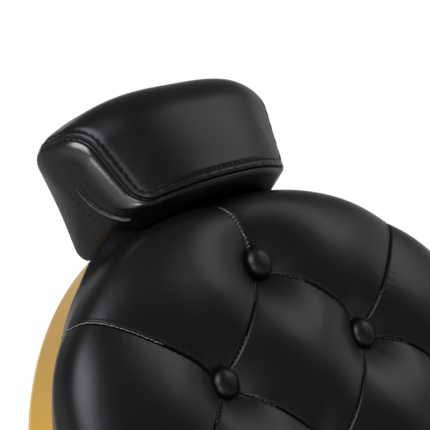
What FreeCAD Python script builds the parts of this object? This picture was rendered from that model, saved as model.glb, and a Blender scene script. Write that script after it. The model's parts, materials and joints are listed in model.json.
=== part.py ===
import FreeCAD, Part
import math
import os

# Reclining barber chair on a hydraulic lift: round button-tufted back in a gold shell, headrest on a post,
# padded seat between loop arms, legrest that rises as the back reclines.
# Millimetres. Origin on the floor under the lift, +Z up, the sitter faces -Y, X runs across the seat.

V = FreeCAD.Vector
X_AXIS = V(1, 0, 0)
Y_AXIS = V(0, 1, 0)
Z_AXIS = V(0, 0, 1)

# Fits shared by all pieces
RUNNING_FIT = 0.06         # radial play of a shaft that turns or slides in its bore
BOLT_PLAY = 0.1            # radial play of a bolt in its hole
SIDE_PLAY = 0.4            # gap between two flat plates that turn past each other
SOFT_PLAY = 1.0            # room round padding inside a shell

# Base and floor ring
BASE_RADIUS = 320.0
RING_WIDTH = 16.0
RING_HEIGHT = 16.0
PLATE_THICKNESS = 12.0
COVER_WALL = 2.0
COVER_SKIRT = 5.0          # upright edge of the dome above the base plate
COVER_SHOULDER_RADIUS = 125.0
COVER_SHOULDER_RISE = 24.0
COVER_NECK_RISE = 50.0     # top of the dome above the base plate
COVER_NECK_PLAY = 2.0      # gap between dome and pump barrel

# Hydraulic pump and ram
PUMP_FLANGE_RADIUS = 105.0
PUMP_FLANGE_THICKNESS = 12.0
PUMP_LOWER_RADIUS = 62.0
PUMP_UPPER_RADIUS = 50.0
PUMP_STEP_Z = 135.0
PUMP_TOP_Z = 250.0
PUMP_BOLT_CIRCLE = 84.0    # radius
PUMP_BOLT_COUNT = 6
COLLAR_RADIUS = 58.0
COLLAR_HEIGHT = 18.0
RAM_RADIUS = 30.0
RAM_BOTTOM_Z = 56.0
RAM_EXPOSED = 14.0         # ram that shows above the collar with the seat down
SPIGOT_RADIUS = 24.0
SPIGOT_HEIGHT = 45.0
THRUST_THICKNESS = 5.0
BUSH_WALL = 4.0

# Foot pump pedal, on the +X side
PEDAL_PIVOT_X = 78.0
PEDAL_PIVOT_Z = 82.0
PEDAL_PIN_RADIUS = 6.0
PEDAL_EAR_THICKNESS = 10.0
PEDAL_ARM_WIDTH = 22.0
PEDAL_ARM_DEPTH = 16.0
PEDAL_REACH = 385.0        # outer end of the pedal from the lift's axis
PEDAL_PAD_LENGTH = 70.0
PEDAL_PAD_WIDTH = 96.0
PEDAL_PAD_Z = 70.0         # top of the steel under the rubber pad
PEDAL_PAD_THICKNESS = 8.0

# Seat frame
HUB_RADIUS = 46.0
HUB_PLATE_SIDE = 200.0
HUB_PLATE_THICKNESS = 8.0
HUB_CAP = 4.0              # metal over the ram's spigot
CROSS_WIDTH = 40.0
CROSS_HEIGHT = 26.0
CROSS_SPACING = 140.0
ARM_SEAT_GAP = 4.0         # between the seat pan and an arm
TUBE_WALL = 2.5
CROSS_END_PLATE = 8.0
RAIL_INNER_X = 90.0
RAIL_WIDTH = 30.0
RAIL_HEIGHT = 26.0
RAIL_FRONT_Y = -262.0
RAIL_REAR_Y = 262.0
BOLT_RADIUS = 5.0
BOLT_HEAD_RADIUS = 9.0
BOLT_HEAD_HEIGHT = 6.0

# Seat
SEAT_HALF_WIDTH = 258.0
SEAT_FRONT_Y = -278.0
SEAT_REAR_Y = 205.0
SEAT_CORNER_RADIUS = 62.0
SEAT_SHELL_WALL = 4.0
SEAT_SHELL_HEIGHT = 44.0
SEAT_BOARD_THICKNESS = 15.0
SEAT_CUSHION_HEIGHT = 100.0

# Shape of the padding on seat, arms and legrest
SEAT_DRAW = 4.0            # sides drawn in at foot and shoulder
SEAT_CROWN_SHARE = 0.36    # share of the height above the shoulder
PAD_DRAW = 2.0
PAD_CROWN_SHARE = 0.45
CROWN_SPAN_SHARE = 0.6     # share of the half width that the crown covers
CROWN_TURNS = (0, 30, 55, 75, 90)    # degrees along the crown at which it is shaped
CORNER_EASE = 0.45         # loss of corner radius per inset of the crown
CORNER_LEAST = 0.3         # least share of the corner radius
CORNER_MOST = 0.9          # most share of the half width that a corner takes

# Arms
ARM_THICKNESS = 18.0
ARM_BAR_WIDTH = 28.0
ARM_FOOT_FRONT_Y = -125.0
ARM_FOOT_REAR_Y = 130.0
ARM_TOP_FRONT_Y = -240.0
ARM_TOP_REAR_Y = 175.0
ARM_TOP_Z = 668.0
ARM_CORNER_RADIUS = 46.0
ARM_PAD_WIDTH = 58.0
ARM_PAD_HEIGHT = 36.0
ARM_PAD_OVERHANG = 8.0
ARM_FOOT_DROP = 3.0        # foot of the loop below the cross tubes

# Recline hinge
PIVOT_Y = 290.0
PIVOT_Z = 385.0
RECLINE = 27.0             # lean of the back from upright, as photographed
HINGE_PLATE_THICKNESS = 6.0
HINGE_EYE_RADIUS = 36.0
HINGE_PLATE_FRONT_Y = 150.0
HINGE_PLATE_DEPTH = 40.0
PLATE_BOLT_INSET = 20.0    # bolt from a hinge plate's end
HINGE_BOLT_REAR = 32.0     # last bolt from the rail's rear end
RECLINER_RADIUS = 42.0
RECLINER_THICKNESS = 10.0
SHAFT_RADIUS = 7.0
SHAFT_COLLAR_RADIUS = 12.0
SHAFT_COLLAR_LENGTH = 5.0

# Release lever, on the +X side outside the arm
RELEASE_PLAY = 12.0        # gap between arm and lever
RELEASE_THICKNESS = 6.0
RELEASE_LENGTH = 190.0
RELEASE_RISE = 18.0        # degrees above level, forwards
RELEASE_GRIP_RADIUS = 11.0
RELEASE_GRIP_LENGTH = 92.0
RELEASE_TIP_RADIUS = 6.6

# Back: sizes across the button plane and depths in front of it (front positive)
BACK_FOOT_UP = 124.0       # lower edge of the round back above the hinge, along the back
BUTTON_PLANE = 90.0        # button plane in front of the hinge
BACK_RADIUS = 276.0
BACK_FRONT_DRAW = 2.0      # front edge of the side drawn in
BACK_CREST = 28.0          # crest of the tufts in front of the button plane
BACK_EDGE_ROUND = 33.0
CUSHION_DEPTH = 55.0       # rear face of the padding behind the button plane
TUFT_SHARE = 0.35145       # half diagonal of a diamond, of the back's radius
SEAM_DEPTH = 12.5          # seam below the crest, half way between two buttons
SEAM_HALF_WIDTH = 64.0
PIT_RADIUS = 66.0
CUTTER_LIFT = 1.0          # seams and dimples are measured from this far in front of the crest
SEAM_OVERRUN = 1.1         # seams run past the rim, of the back's radius
BUTTON_RADIUS = 14.5
BUTTON_SEAT = -6.0         # foot of the button, from the button plane
BUTTON_RIM = 3.0
BUTTON_TOP = 9.0
BUTTON_PLAY = 0.4
BOARD_THICKNESS = 12.0
BOARD_EDGE_PLAY = 4.0
SHELL_WALL = 4.0
SHELL_DEPTH = 63.0         # from the padding's rear edge to the shell's rear face
SHELL_TAPER = 4.0
SHELL_SIDE = 40.0          # straight side of the shell
SHELL_EDGE = 44.0          # width of the rounded rear edge
SHELL_BULGE_OUT = 0.26     # middle of the rounded edge: share of its width
SHELL_BULGE_BACK = 0.72    # middle of the rounded edge: share of its depth
UPRIGHT_THICKNESS = 8.0
UPRIGHT_WIDTH = 40.0
UPRIGHT_REACH = 80.0       # upright above the back's middle
UPRIGHT_FLANGE = 30.0
FLANGE_THICKNESS = 6.0
FLANGE_INSET = 72.0        # flange from the back's lower edge
SLOT_PLAY = 1.0
BACK_BOLT_RADIUS = 4.0
BACK_BOLT_FIRST = 40.0     # first bolt from the flange's lower end
BACK_BOLT_PITCH = 90.0
BACK_BOLT_COUNT = 3

# Drag links that tie the legrest to the back
LEVER = 70.0               # crank length at both ends
LINK_THICKNESS = 6.0
LINK_HALF_HEIGHT = 10.0
LINK_PIN_RADIUS = 6.0
LINK_PIN_HEAD = 9.0
LINK_BOSS_RADIUS = 13.8
LINK_OPEN_PLAY = 0.5       # radial play at the pivot on the legrest
LINK_SPACE = 2.0           # washer gap between legrest arm and link

# Legrest and footplate
LEG_PIVOT_Y = -250.0
LEG_PIVOT_Z = 362.0
LEG_LEAN = 12.0            # lean of the legrest from hanging straight, at rest
LEG_PIN_RADIUS = 7.0
LEG_PIN_HEAD = 12.0
LEG_PIN_HEAD_LENGTH = 4.0
LEG_EYE_RADIUS = 24.0
LEG_PLATE_LENGTH = 124.0   # front plate's rear end from the rail's front end
LEG_ARM_THICKNESS = 6.0
LEG_ARM_WIDTH = 40.0
LEG_ARM_LENGTH = 262.0
LEG_TIE_RADIUS = 9.0
LEG_TIE_DROP = 226.0
LEG_BOARD_THICKNESS = 12.0
LEG_HALF_WIDTH = 192.0
LEG_PAD_TOP = 35.0         # below the legrest pivot
LEG_PAD_HEIGHT = 176.0
LEG_PAD_THICKNESS = 40.0
LEG_PAD_CORNER = 34.0
FOOT_PIN_RADIUS = 5.0
FOOT_PIN_DROP = 250.0
FOOT_PIN_FORWARD = 80.0
FOOT_EYE_RADIUS = 12.0
FOOT_KNUCKLE_RADIUS = 11.0
FOOT_KNUCKLE_LENGTH = 24.0
FOOT_HALF_WIDTH = 186.0
FOOT_DEPTH = 142.0
FOOT_REAR_GAP = 16.0
FOOT_THICKNESS = 7.0
FOOT_CORNER = 30.0
MAT_THICKNESS = 4.0
MAT_MARGIN = 16.0
MAT_RIB_COUNT = 7
MAT_RIB_WIDTH = 6.0
MAT_RIB_HEIGHT = 1.5

# Headrest
HEAD_HALF_WIDTH = 110.0
HEAD_LEAN = 10.0           # lean of the headrest beyond the back
HEAD_SINK = 28.0           # rear lower edge below the top of the round back
HEAD_BEHIND = 88.0         # rear lower edge behind the button plane
HEAD_HEIGHT = 114.0
HEAD_TOP_DEPTH = 70.0      # before the edges are rounded
HEAD_REAR_SLOPE = 2.0
HEAD_BOTTOM_DEPTH = 84.0
HEAD_FRONT_LIFT = 16.0     # front seam above the rear lower edge
HEAD_TOP_DROP = 16.0       # front of the top below its rear
HEAD_ROUND = 17.0
HEAD_BEND_RADIUS = 800.0   # the front is hollow round the head
HEAD_END_ROUND = 12.0
HEAD_END_EASE = 1.5        # the section narrows by this where the ends start to round
HEAD_FULL_SHARE = 0.55     # share of the half width with the full section
HEAD_CLEARANCE = 4.0       # gap over the round back
HEAD_BOARD_THICKNESS = 10.0
HEAD_BOARD_HALF_WIDTH = 84.0
HEAD_BOARD_HEIGHT = 54.0
HEAD_BOARD_RISE = 10.8     # board above the post's end
POST_WIDTH = 50.0
POST_THICKNESS = 10.0
POST_BEHIND_BOARD = 4.0    # post behind the rear of the back board
POST_LENGTH = 226.0
POST_RISE = 46.0           # post above the round back
SLEEVE_WALL = 3.0
SLEEVE_LENGTH = 170.0
SLEEVE_DROP = 18.0         # sleeve below the top of the round back
KNOB_DROP = 86.0           # knob below the top of the round back
KNOB_RADIUS = 19.0
KNOB_LENGTH = 22.0
KNOB_SCREW_RADIUS = 5.0
KNOB_GAP = 0.5             # clear of shell and post
KNOB_LOBES = 6
KNOB_GROOVE_RADIUS = 7.6
KNOB_GROOVE_OFFSET = 23.75

# Heights worked out from the stack of pieces
COLLAR_TOP_Z = PUMP_TOP_Z + COLLAR_HEIGHT
RAM_SHOULDER_Z = COLLAR_TOP_Z + RAM_EXPOSED
HUB_BOTTOM_Z = RAM_SHOULDER_Z + THRUST_THICKNESS + SIDE_PLAY
SPIGOT_TOP_Z = RAM_SHOULDER_Z + SPIGOT_HEIGHT
HUB_BORE_TOP_Z = SPIGOT_TOP_Z + SIDE_PLAY
HUB_PLATE_Z = HUB_BORE_TOP_Z + HUB_CAP
CROSS_Z = HUB_PLATE_Z + HUB_PLATE_THICKNESS
RAIL_Z = CROSS_Z + CROSS_HEIGHT
SEAT_SHELL_Z = RAIL_Z + RAIL_HEIGHT
SEAT_BOARD_Z = SEAT_SHELL_Z + SEAT_SHELL_WALL
SEAT_CUSHION_Z = SEAT_BOARD_Z + SEAT_BOARD_THICKNESS

# Places across the hinge, from the rail outwards
RAIL_OUTER_X = RAIL_INNER_X + RAIL_WIDTH
PLATE_OUTER_X = RAIL_OUTER_X + HINGE_PLATE_THICKNESS
FIXED_OUTER_X = PLATE_OUTER_X + RECLINER_THICKNESS
MOVING_INNER_X = FIXED_OUTER_X + SIDE_PLAY
UPRIGHT_INNER_X = MOVING_INNER_X + RECLINER_THICKNESS
UPRIGHT_OUTER_X = UPRIGHT_INNER_X + UPRIGHT_THICKNESS
LEG_ARM_INNER_X = PLATE_OUTER_X + SIDE_PLAY
LEG_ARM_OUTER_X = LEG_ARM_INNER_X + LEG_ARM_THICKNESS
LINK_INNER_X = LEG_ARM_OUTER_X + LINK_SPACE
LINK_OUTER_X = LINK_INNER_X + LINK_THICKNESS
CROSS_HALF_LENGTH = SEAT_HALF_WIDTH + ARM_SEAT_GAP
ARM_INNER_X = CROSS_HALF_LENGTH
ARM_OUTER_X = ARM_INNER_X + ARM_THICKNESS
RELEASE_INNER_X = ARM_OUTER_X + RELEASE_PLAY

# Heights on the back: up the back from the hinge, or from the middle of the disc
DISC_UP = BACK_FOOT_UP + BACK_RADIUS
UPRIGHT_LENGTH = DISC_UP + UPRIGHT_REACH
FLANGE_START = BACK_FOOT_UP + FLANGE_INSET
BACK_FRONT_RADIUS = BACK_RADIUS - BACK_FRONT_DRAW
SHELL_FLAT_RADIUS = BACK_RADIUS - SHELL_EDGE
TUFT_PITCH = BACK_RADIUS * TUFT_SHARE
HEAD_UP = BACK_RADIUS - HEAD_SINK
POST_TOP_UP = BACK_RADIUS + POST_RISE
POST_FOOT_UP = POST_TOP_UP - POST_LENGTH
SLEEVE_TOP_UP = BACK_RADIUS - SLEEVE_DROP
SLEEVE_FOOT_UP = SLEEVE_TOP_UP - SLEEVE_LENGTH
KNOB_UP = BACK_RADIUS - KNOB_DROP

# Depths of the back in its own frame: Y backwards from the hinge, Z up the back
BUTTON_Y = -BUTTON_PLANE
CREST_Y = BUTTON_Y - BACK_CREST
CUSHION_REAR_Y = BUTTON_Y + CUSHION_DEPTH
BOARD_REAR_Y = CUSHION_REAR_Y + BOARD_THICKNESS
SHELL_REAR_Y = CUSHION_REAR_Y + SHELL_DEPTH
SHELL_INNER_REAR_Y = SHELL_REAR_Y - SHELL_WALL
POST_FRONT_Y = BOARD_REAR_Y + POST_BEHIND_BOARD
POST_REAR_Y = POST_FRONT_Y + POST_THICKNESS

BACK_PLACE = FreeCAD.Placement(V(0, PIVOT_Y, PIVOT_Z), FreeCAD.Rotation(X_AXIS, -RECLINE))
DISC_PLACE = BACK_PLACE.multiply(FreeCAD.Placement(V(0, 0, DISC_UP), FreeCAD.Rotation()))
LEG_PLACE = FreeCAD.Placement(V(0, LEG_PIVOT_Y, LEG_PIVOT_Z), FreeCAD.Rotation(X_AXIS, -LEG_LEAN))


# Building blocks

def box(x0, x1, y0, y1, z0, z1):
    """Box between two corners."""
    return Part.makeBox(x1 - x0, y1 - y0, z1 - z0, V(x0, y0, z0))


def rod_x(radius, x0, x1, y, z):
    """Round bar along X."""
    return Part.makeCylinder(radius, x1 - x0, V(x0, y, z), X_AXIS)


def rod_z(radius, z0, z1, x=0.0, y=0.0):
    """Round bar along Z."""
    return Part.makeCylinder(radius, z1 - z0, V(x, y, z0), Z_AXIS)


def rod_y(radius, y0, y1, x, z):
    """Round bar along Y."""
    return Part.makeCylinder(radius, y1 - y0, V(x, y0, z), Y_AXIS)


def both_sides(shape):
    """The shape and its mirror image across the chair's middle plane."""
    return [shape, shape.mirror(V(0, 0, 0), X_AXIS)]


def group(shapes):
    """Separate solids that share one node."""
    return Part.makeCompound(shapes)


def turned(shape, place):
    """Copy of a shape moved from its own frame to the chair's."""
    moved = shape.copy()
    moved.Placement = place.multiply(moved.Placement)
    return moved


def rounded_loop(points, radius):
    """Closed wire through corner points, each corner rounded by an arc of one radius."""
    starts = []
    ends = []
    arcs = []
    for i, corner in enumerate(points):
        before = (points[i - 1] - corner).normalize()
        after = (points[(i + 1) % len(points)] - corner).normalize()
        half = before.getAngle(after) / 2
        reach = radius / math.tan(half)
        middle = (before + after).normalize() * (radius / math.sin(half) - radius)
        starts.append(corner + before * reach)
        ends.append(corner + after * reach)
        arcs.append(Part.Arc(starts[-1], corner + middle, ends[-1]).toShape())
    edges = []
    for i, arc in enumerate(arcs):
        edges.append(arc)
        edges.append(Part.LineSegment(ends[i], starts[(i + 1) % len(arcs)]).toShape())
    return Part.Wire(edges)


def rounded_rectangle(half_x, y0, y1, z, radius):
    """Level rounded rectangle, centred on X."""
    corners = [V(-half_x, y0, z), V(half_x, y0, z), V(half_x, y1, z), V(-half_x, y1, z)]
    return rounded_loop(corners, radius)


def crowned_pad(half_x, y0, y1, corner, z, height, side_draw, crown_share):
    """Padding on a flat foot: sides drawn in at foot and shoulder, rounded edge, crowned top."""
    span = min(half_x, (y1 - y0) / 2)
    shoulder = height * (1 - crown_share)
    levels = [(0.0, side_draw), (shoulder / 2, 0.0)]
    for turn in CROWN_TURNS:
        angle = math.radians(turn)
        inset = side_draw / 2 + span * CROWN_SPAN_SHARE * (1 - math.cos(angle))
        levels.append((shoulder + (height - shoulder) * math.sin(angle), inset))
    rings = []
    for rise, inset in levels:
        radius = max(corner - inset * CORNER_EASE, corner * CORNER_LEAST)
        radius = min(radius, (span - inset) * CORNER_MOST)
        rings.append(rounded_rectangle(half_x - inset, y0 + inset, y1 - inset, z + rise, radius))
    return Part.makeLoft(rings, True, False)


def slab(wire, direction):
    """Flat plate from an outline."""
    return Part.Face(wire).extrude(direction)


def strap(end_a, radius_a, end_b, radius_b, x0, x1):
    """Flat bar in a YZ plane with round ends of two radii."""
    along = end_b - end_a
    length = along.Length
    along = along / length
    side = X_AXIS.cross(along)
    lean = (radius_a - radius_b) / length
    cosine = math.sqrt(1 - lean * lean)
    corners = []
    for end, radius in ((end_a, radius_a), (end_b, radius_b)):
        corners.append([end + along * (radius * lean) + side * (sign * radius * cosine) for sign in (1, -1)])
    loop = [corners[0][0], corners[1][0], corners[1][1], corners[0][1]]
    outline = Part.makePolygon([V(x0, p.y, p.z) for p in loop + loop[:1]])
    solid = slab(outline, V(x1 - x0, 0, 0))
    for end, radius in ((end_a, radius_a), (end_b, radius_b)):
        solid = solid.fuse(rod_x(radius, x0, x1, end.y, end.z))
    return solid.removeSplitter()


def revolved(edges, axis_point, axis):
    """Solid of revolution from the edges of a closed outline."""
    return Part.Face(Part.Wire(edges)).revolve(axis_point, axis, 360)


def path(points):
    """Straight edges through points."""
    return [Part.LineSegment(a, b).toShape() for a, b in zip(points, points[1:])]


def arc(a, b, c):
    """Arc edge through three points."""
    return Part.Arc(a, b, c).toShape()


def tube(x0, x1, y0, y1, z0, z1, ends):
    """Square tube along X with closed ends of a given thickness."""
    hollow = box(x0 + ends, x1 - ends, y0 + TUBE_WALL, y1 - TUBE_WALL, z0 + TUBE_WALL, z1 - TUBE_WALL)
    return box(x0, x1, y0, y1, z0, z1).cut(hollow)


def hex_head(radius, start, direction):
    """Hexagon bolt head standing on a face."""
    turns = [math.radians(60 * i) for i in range(7)]
    outline = Part.makePolygon([V(radius * math.cos(turn), radius * math.sin(turn), 0) for turn in turns])
    solid = slab(outline, V(0, 0, BOLT_HEAD_HEIGHT))
    solid.Placement = FreeCAD.Placement(start, FreeCAD.Rotation(Z_AXIS, direction))
    return solid


def bolt(start, direction, length, radius=BOLT_RADIUS, head=BOLT_HEAD_RADIUS):
    """Bolt with its head outside the face at start and its shank running the other way into the work."""
    shank = Part.makeCylinder(radius, length, start, direction * -1)
    return hex_head(head, start, direction).fuse(shank)


# Base, pump and ram

def base_plate():
    """Steel disc that stands on the floor."""
    return rod_z(BASE_RADIUS - RING_WIDTH, 0, PLATE_THICKNESS)


def base_ring():
    """Rubber edge round the base plate, with a rounded top."""
    inner = BASE_RADIUS - RING_WIDTH
    half = RING_WIDTH / 2
    crown = V(inner + half, 0, RING_HEIGHT)
    start = V(BASE_RADIUS, 0, RING_HEIGHT - half)
    end = V(inner, 0, RING_HEIGHT - half)
    middle_out = V(inner + half + half * math.sqrt(0.5), 0, RING_HEIGHT - half + half * math.sqrt(0.5))
    middle_in = V(inner + half - half * math.sqrt(0.5), 0, RING_HEIGHT - half + half * math.sqrt(0.5))
    edges = path([end, V(inner, 0, 0), V(BASE_RADIUS, 0, 0), start])
    edges += [arc(start, middle_out, crown), arc(crown, middle_in, end)]
    return revolved(edges, V(0, 0, 0), Z_AXIS)


def base_cover():
    """Spun dome: upright skirt, shallow shoulder, then a hollow sweep up to the neck round the pump."""
    skirt_radius = BASE_RADIUS - RING_WIDTH - SIDE_PLAY
    neck_radius = PUMP_LOWER_RADIUS + COVER_NECK_PLAY + COVER_WALL
    foot = PLATE_THICKNESS
    skirt = V(skirt_radius, 0, foot + COVER_SKIRT)
    shoulder = V(COVER_SHOULDER_RADIUS, 0, foot + COVER_SHOULDER_RISE)
    neck = V(neck_radius, 0, foot + COVER_NECK_RISE)
    bow = V((skirt.x + shoulder.x) / 2, 0, (skirt.z + shoulder.z) / 2 + COVER_SHOULDER_RISE * 0.16)
    sweep = V((shoulder.x + neck.x) / 2, 0, (shoulder.z + neck.z) / 2 - COVER_NECK_RISE * 0.1)
    inward = V(-COVER_WALL, 0, -COVER_WALL)
    outer_foot = V(skirt_radius, 0, foot)
    inner_foot = V(skirt_radius - COVER_WALL, 0, foot)
    edges = path([inner_foot, outer_foot, skirt])
    edges += [arc(skirt, bow, shoulder), arc(shoulder, sweep, neck)]
    edges += path([neck, neck + inward])
    edges.append(arc(neck + inward, sweep + inward, shoulder + inward))
    edges.append(arc(shoulder + inward, bow + inward, skirt + inward))
    edges += path([skirt + inward, inner_foot])
    return revolved(edges, V(0, 0, 0), Z_AXIS)


def pump_bolt_places():
    """Centres of the pump's bolts on the flange."""
    places = []
    for i in range(PUMP_BOLT_COUNT):
        angle = 2 * math.pi * (i + 0.5) / PUMP_BOLT_COUNT
        places.append((PUMP_BOLT_CIRCLE * math.cos(angle), PUMP_BOLT_CIRCLE * math.sin(angle)))
    return places


def pump_body():
    """Cast pump: bolted flange, stepped barrel with a blind bore for the ram, two ears for the pedal."""
    foot = PLATE_THICKNESS
    flange_top = foot + PUMP_FLANGE_THICKNESS
    body = rod_z(PUMP_FLANGE_RADIUS, foot, flange_top)
    body = body.fuse(rod_z(PUMP_LOWER_RADIUS, flange_top, PUMP_STEP_Z))
    cone = Part.makeCone(PUMP_LOWER_RADIUS, PUMP_UPPER_RADIUS, PUMP_LOWER_RADIUS - PUMP_UPPER_RADIUS,
                         V(0, 0, PUMP_STEP_Z), Z_AXIS)
    body = body.fuse(cone).fuse(rod_z(PUMP_UPPER_RADIUS, PUMP_STEP_Z, PUMP_TOP_Z))
    ear_radius = PEDAL_PIN_RADIUS * 2
    inner = PEDAL_ARM_WIDTH / 2 + SIDE_PLAY
    for sign in (1, -1):
        y0, y1 = sorted((sign * inner, sign * (inner + PEDAL_EAR_THICKNESS)))
        ear = box(PUMP_LOWER_RADIUS * 0.8, PEDAL_PIVOT_X, y0, y1, PEDAL_PIVOT_Z - ear_radius,
                  PEDAL_PIVOT_Z + ear_radius)
        body = body.fuse(ear).fuse(rod_y(ear_radius, y0, y1, PEDAL_PIVOT_X, PEDAL_PIVOT_Z))
    body = body.cut(rod_z(RAM_RADIUS + RUNNING_FIT, RAM_BOTTOM_Z - SIDE_PLAY, PUMP_TOP_Z))
    reach = inner + PEDAL_EAR_THICKNESS
    body = body.cut(rod_y(PEDAL_PIN_RADIUS, -reach, reach, PEDAL_PIVOT_X, PEDAL_PIVOT_Z))
    for x, y in pump_bolt_places():
        body = body.cut(rod_z(BOLT_RADIUS + BOLT_PLAY, foot, flange_top, x, y))
    return body.removeSplitter()


def pump_bolts():
    """Bolts that hold the pump's flange to the base plate."""
    top = PLATE_THICKNESS + PUMP_FLANGE_THICKNESS
    return group([bolt(V(x, y, top), Z_AXIS, PUMP_FLANGE_THICKNESS) for x, y in pump_bolt_places()])


def pump_collar():
    """Gland nut that guides the ram."""
    collar = rod_z(COLLAR_RADIUS, PUMP_TOP_Z, COLLAR_TOP_Z)
    rims = [e for e in collar.Edges if isinstance(e.Curve, Part.Circle)]
    collar = collar.makeFillet(COLLAR_HEIGHT / 5, rims)
    return collar.cut(rod_z(RAM_RADIUS + RUNNING_FIT, PUMP_TOP_Z, COLLAR_TOP_Z))


def ram():
    """Polished ram with a narrower spigot that carries the seat."""
    return rod_z(RAM_RADIUS, RAM_BOTTOM_Z, RAM_SHOULDER_Z).fuse(
        rod_z(SPIGOT_RADIUS, RAM_SHOULDER_Z, SPIGOT_TOP_Z)).removeSplitter()


def thrust_bearing():
    """Thrust ring on the ram's shoulder, under the swivel hub."""
    ring = rod_z(RAM_RADIUS, RAM_SHOULDER_Z, RAM_SHOULDER_Z + THRUST_THICKNESS)
    return ring.cut(rod_z(SPIGOT_RADIUS, RAM_SHOULDER_Z, RAM_SHOULDER_Z + THRUST_THICKNESS))


# Foot pedal

def pedal_pin():
    """Pin through the pump's ears."""
    reach = PEDAL_ARM_WIDTH / 2 + SIDE_PLAY + PEDAL_EAR_THICKNESS
    return rod_y(PEDAL_PIN_RADIUS, -reach, reach, PEDAL_PIVOT_X, PEDAL_PIVOT_Z)


def pedal_foot(z0, z1):
    """Rounded block at the pedal's outer end, between two heights."""
    outline = rounded_rectangle(PEDAL_PAD_WIDTH / 2, 0, PEDAL_PAD_LENGTH, 0, PEDAL_PAD_LENGTH / 4)
    place = FreeCAD.Placement(V(PEDAL_REACH - PEDAL_PAD_LENGTH, 0, z0), FreeCAD.Rotation(Z_AXIS, -90))
    return turned(slab(outline, V(0, 0, z1 - z0)), place)


def pedal_lever():
    """Cranked steel lever: eye between the ears, arm outwards, broad foot for the pad."""
    half = PEDAL_ARM_WIDTH / 2
    eye_radius = PEDAL_PIN_RADIUS * 2
    pad_start = PEDAL_REACH - PEDAL_PAD_LENGTH
    low = PEDAL_PAD_Z - PEDAL_ARM_DEPTH / 2
    arm_outline = Part.makePolygon([
        V(PEDAL_PIVOT_X, -half, PEDAL_PIVOT_Z - PEDAL_ARM_DEPTH / 2),
        V(pad_start, -half, low),
        V(pad_start, -half, PEDAL_PAD_Z),
        V(PEDAL_PIVOT_X, -half, PEDAL_PIVOT_Z + PEDAL_ARM_DEPTH / 2),
        V(PEDAL_PIVOT_X, -half, PEDAL_PIVOT_Z - PEDAL_ARM_DEPTH / 2)])
    lever = slab(arm_outline, V(0, PEDAL_ARM_WIDTH, 0))
    lever = lever.fuse(rod_y(eye_radius, -half, half, PEDAL_PIVOT_X, PEDAL_PIVOT_Z))
    lever = lever.fuse(pedal_foot(low, PEDAL_PAD_Z))
    lever = lever.cut(rod_y(PEDAL_PIN_RADIUS + RUNNING_FIT, -half, half, PEDAL_PIVOT_X, PEDAL_PIVOT_Z))
    return lever.removeSplitter()


def pedal_pad():
    """Rubber tread on the lever's foot, with grooves across."""
    top = PEDAL_PAD_Z + PEDAL_PAD_THICKNESS
    pad = pedal_foot(PEDAL_PAD_Z, top)
    groove = PEDAL_PAD_THICKNESS / 2
    half = PEDAL_PAD_WIDTH / 2
    for share in (0.25, 0.5, 0.75):
        x = PEDAL_REACH - PEDAL_PAD_LENGTH * share
        pad = pad.cut(box(x - groove / 2, x + groove / 2, -half, half, top - groove, top))
    return pad


# Seat frame

def hub_bolt_places():
    """Centres of the bolts between hub plate and cross tubes."""
    x = HUB_PLATE_SIDE * 0.4
    y = CROSS_SPACING / 2
    return [(sx * x, sy * y) for sx in (1, -1) for sy in (1, -1)]


def swivel_hub():
    """Cast socket that turns on the ram, with a square plate and four ribs under it."""
    side = HUB_PLATE_SIDE / 2
    plate = slab(rounded_rectangle(side, -side, side, HUB_PLATE_Z, side / 6), V(0, 0, HUB_PLATE_THICKNESS))
    hub = plate.fuse(rod_z(HUB_RADIUS, HUB_BOTTOM_Z, HUB_PLATE_Z))
    rib_half = HUB_PLATE_THICKNESS / 2
    drop = HUB_PLATE_Z - HUB_BOTTOM_Z
    rib = slab(Part.makePolygon([V(0, -rib_half, HUB_PLATE_Z), V(side * 0.9, -rib_half, HUB_PLATE_Z),
                                 V(HUB_RADIUS, -rib_half, HUB_PLATE_Z - drop * 0.8),
                                 V(0, -rib_half, HUB_PLATE_Z - drop * 0.8), V(0, -rib_half, HUB_PLATE_Z)]),
               V(0, 2 * rib_half, 0))
    for i in range(4):
        turned_rib = rib.copy()
        turned_rib.rotate(V(0, 0, 0), Z_AXIS, 90 * i)
        hub = hub.fuse(turned_rib)
    hub = hub.cut(rod_z(SPIGOT_RADIUS + RUNNING_FIT + BUSH_WALL, HUB_BOTTOM_Z, HUB_BORE_TOP_Z))
    for x, y in hub_bolt_places():
        hub = hub.cut(rod_z(BOLT_RADIUS + BOLT_PLAY, HUB_PLATE_Z, CROSS_Z, x, y))
    return hub.removeSplitter()


def swivel_bush():
    """Bronze bush in the hub, round the ram's spigot."""
    inner = SPIGOT_RADIUS + RUNNING_FIT
    bush = rod_z(inner + BUSH_WALL, HUB_BOTTOM_Z, HUB_BORE_TOP_Z)
    return bush.cut(rod_z(inner, HUB_BOTTOM_Z, HUB_BORE_TOP_Z))


def cross_tube(y):
    """Square tube under the rails, with end plates for the arms."""
    half = CROSS_WIDTH / 2
    bar = tube(-CROSS_HALF_LENGTH, CROSS_HALF_LENGTH, y - half, y + half, CROSS_Z, RAIL_Z, CROSS_END_PLATE)
    for bolt_x, bolt_y in hub_bolt_places():
        if bolt_y * y > 0:
            bar = bar.cut(rod_z(BOLT_RADIUS + BOLT_PLAY, CROSS_Z, CROSS_Z + TUBE_WALL, bolt_x, y))
    for x0, x1 in ((-CROSS_HALF_LENGTH, CROSS_END_PLATE - CROSS_HALF_LENGTH),
                   (CROSS_HALF_LENGTH - CROSS_END_PLATE, CROSS_HALF_LENGTH)):
        bar = bar.cut(rod_x(BOLT_RADIUS + BOLT_PLAY, x0, x1, y, CROSS_Z + CROSS_HEIGHT / 2))
    return bar


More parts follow.
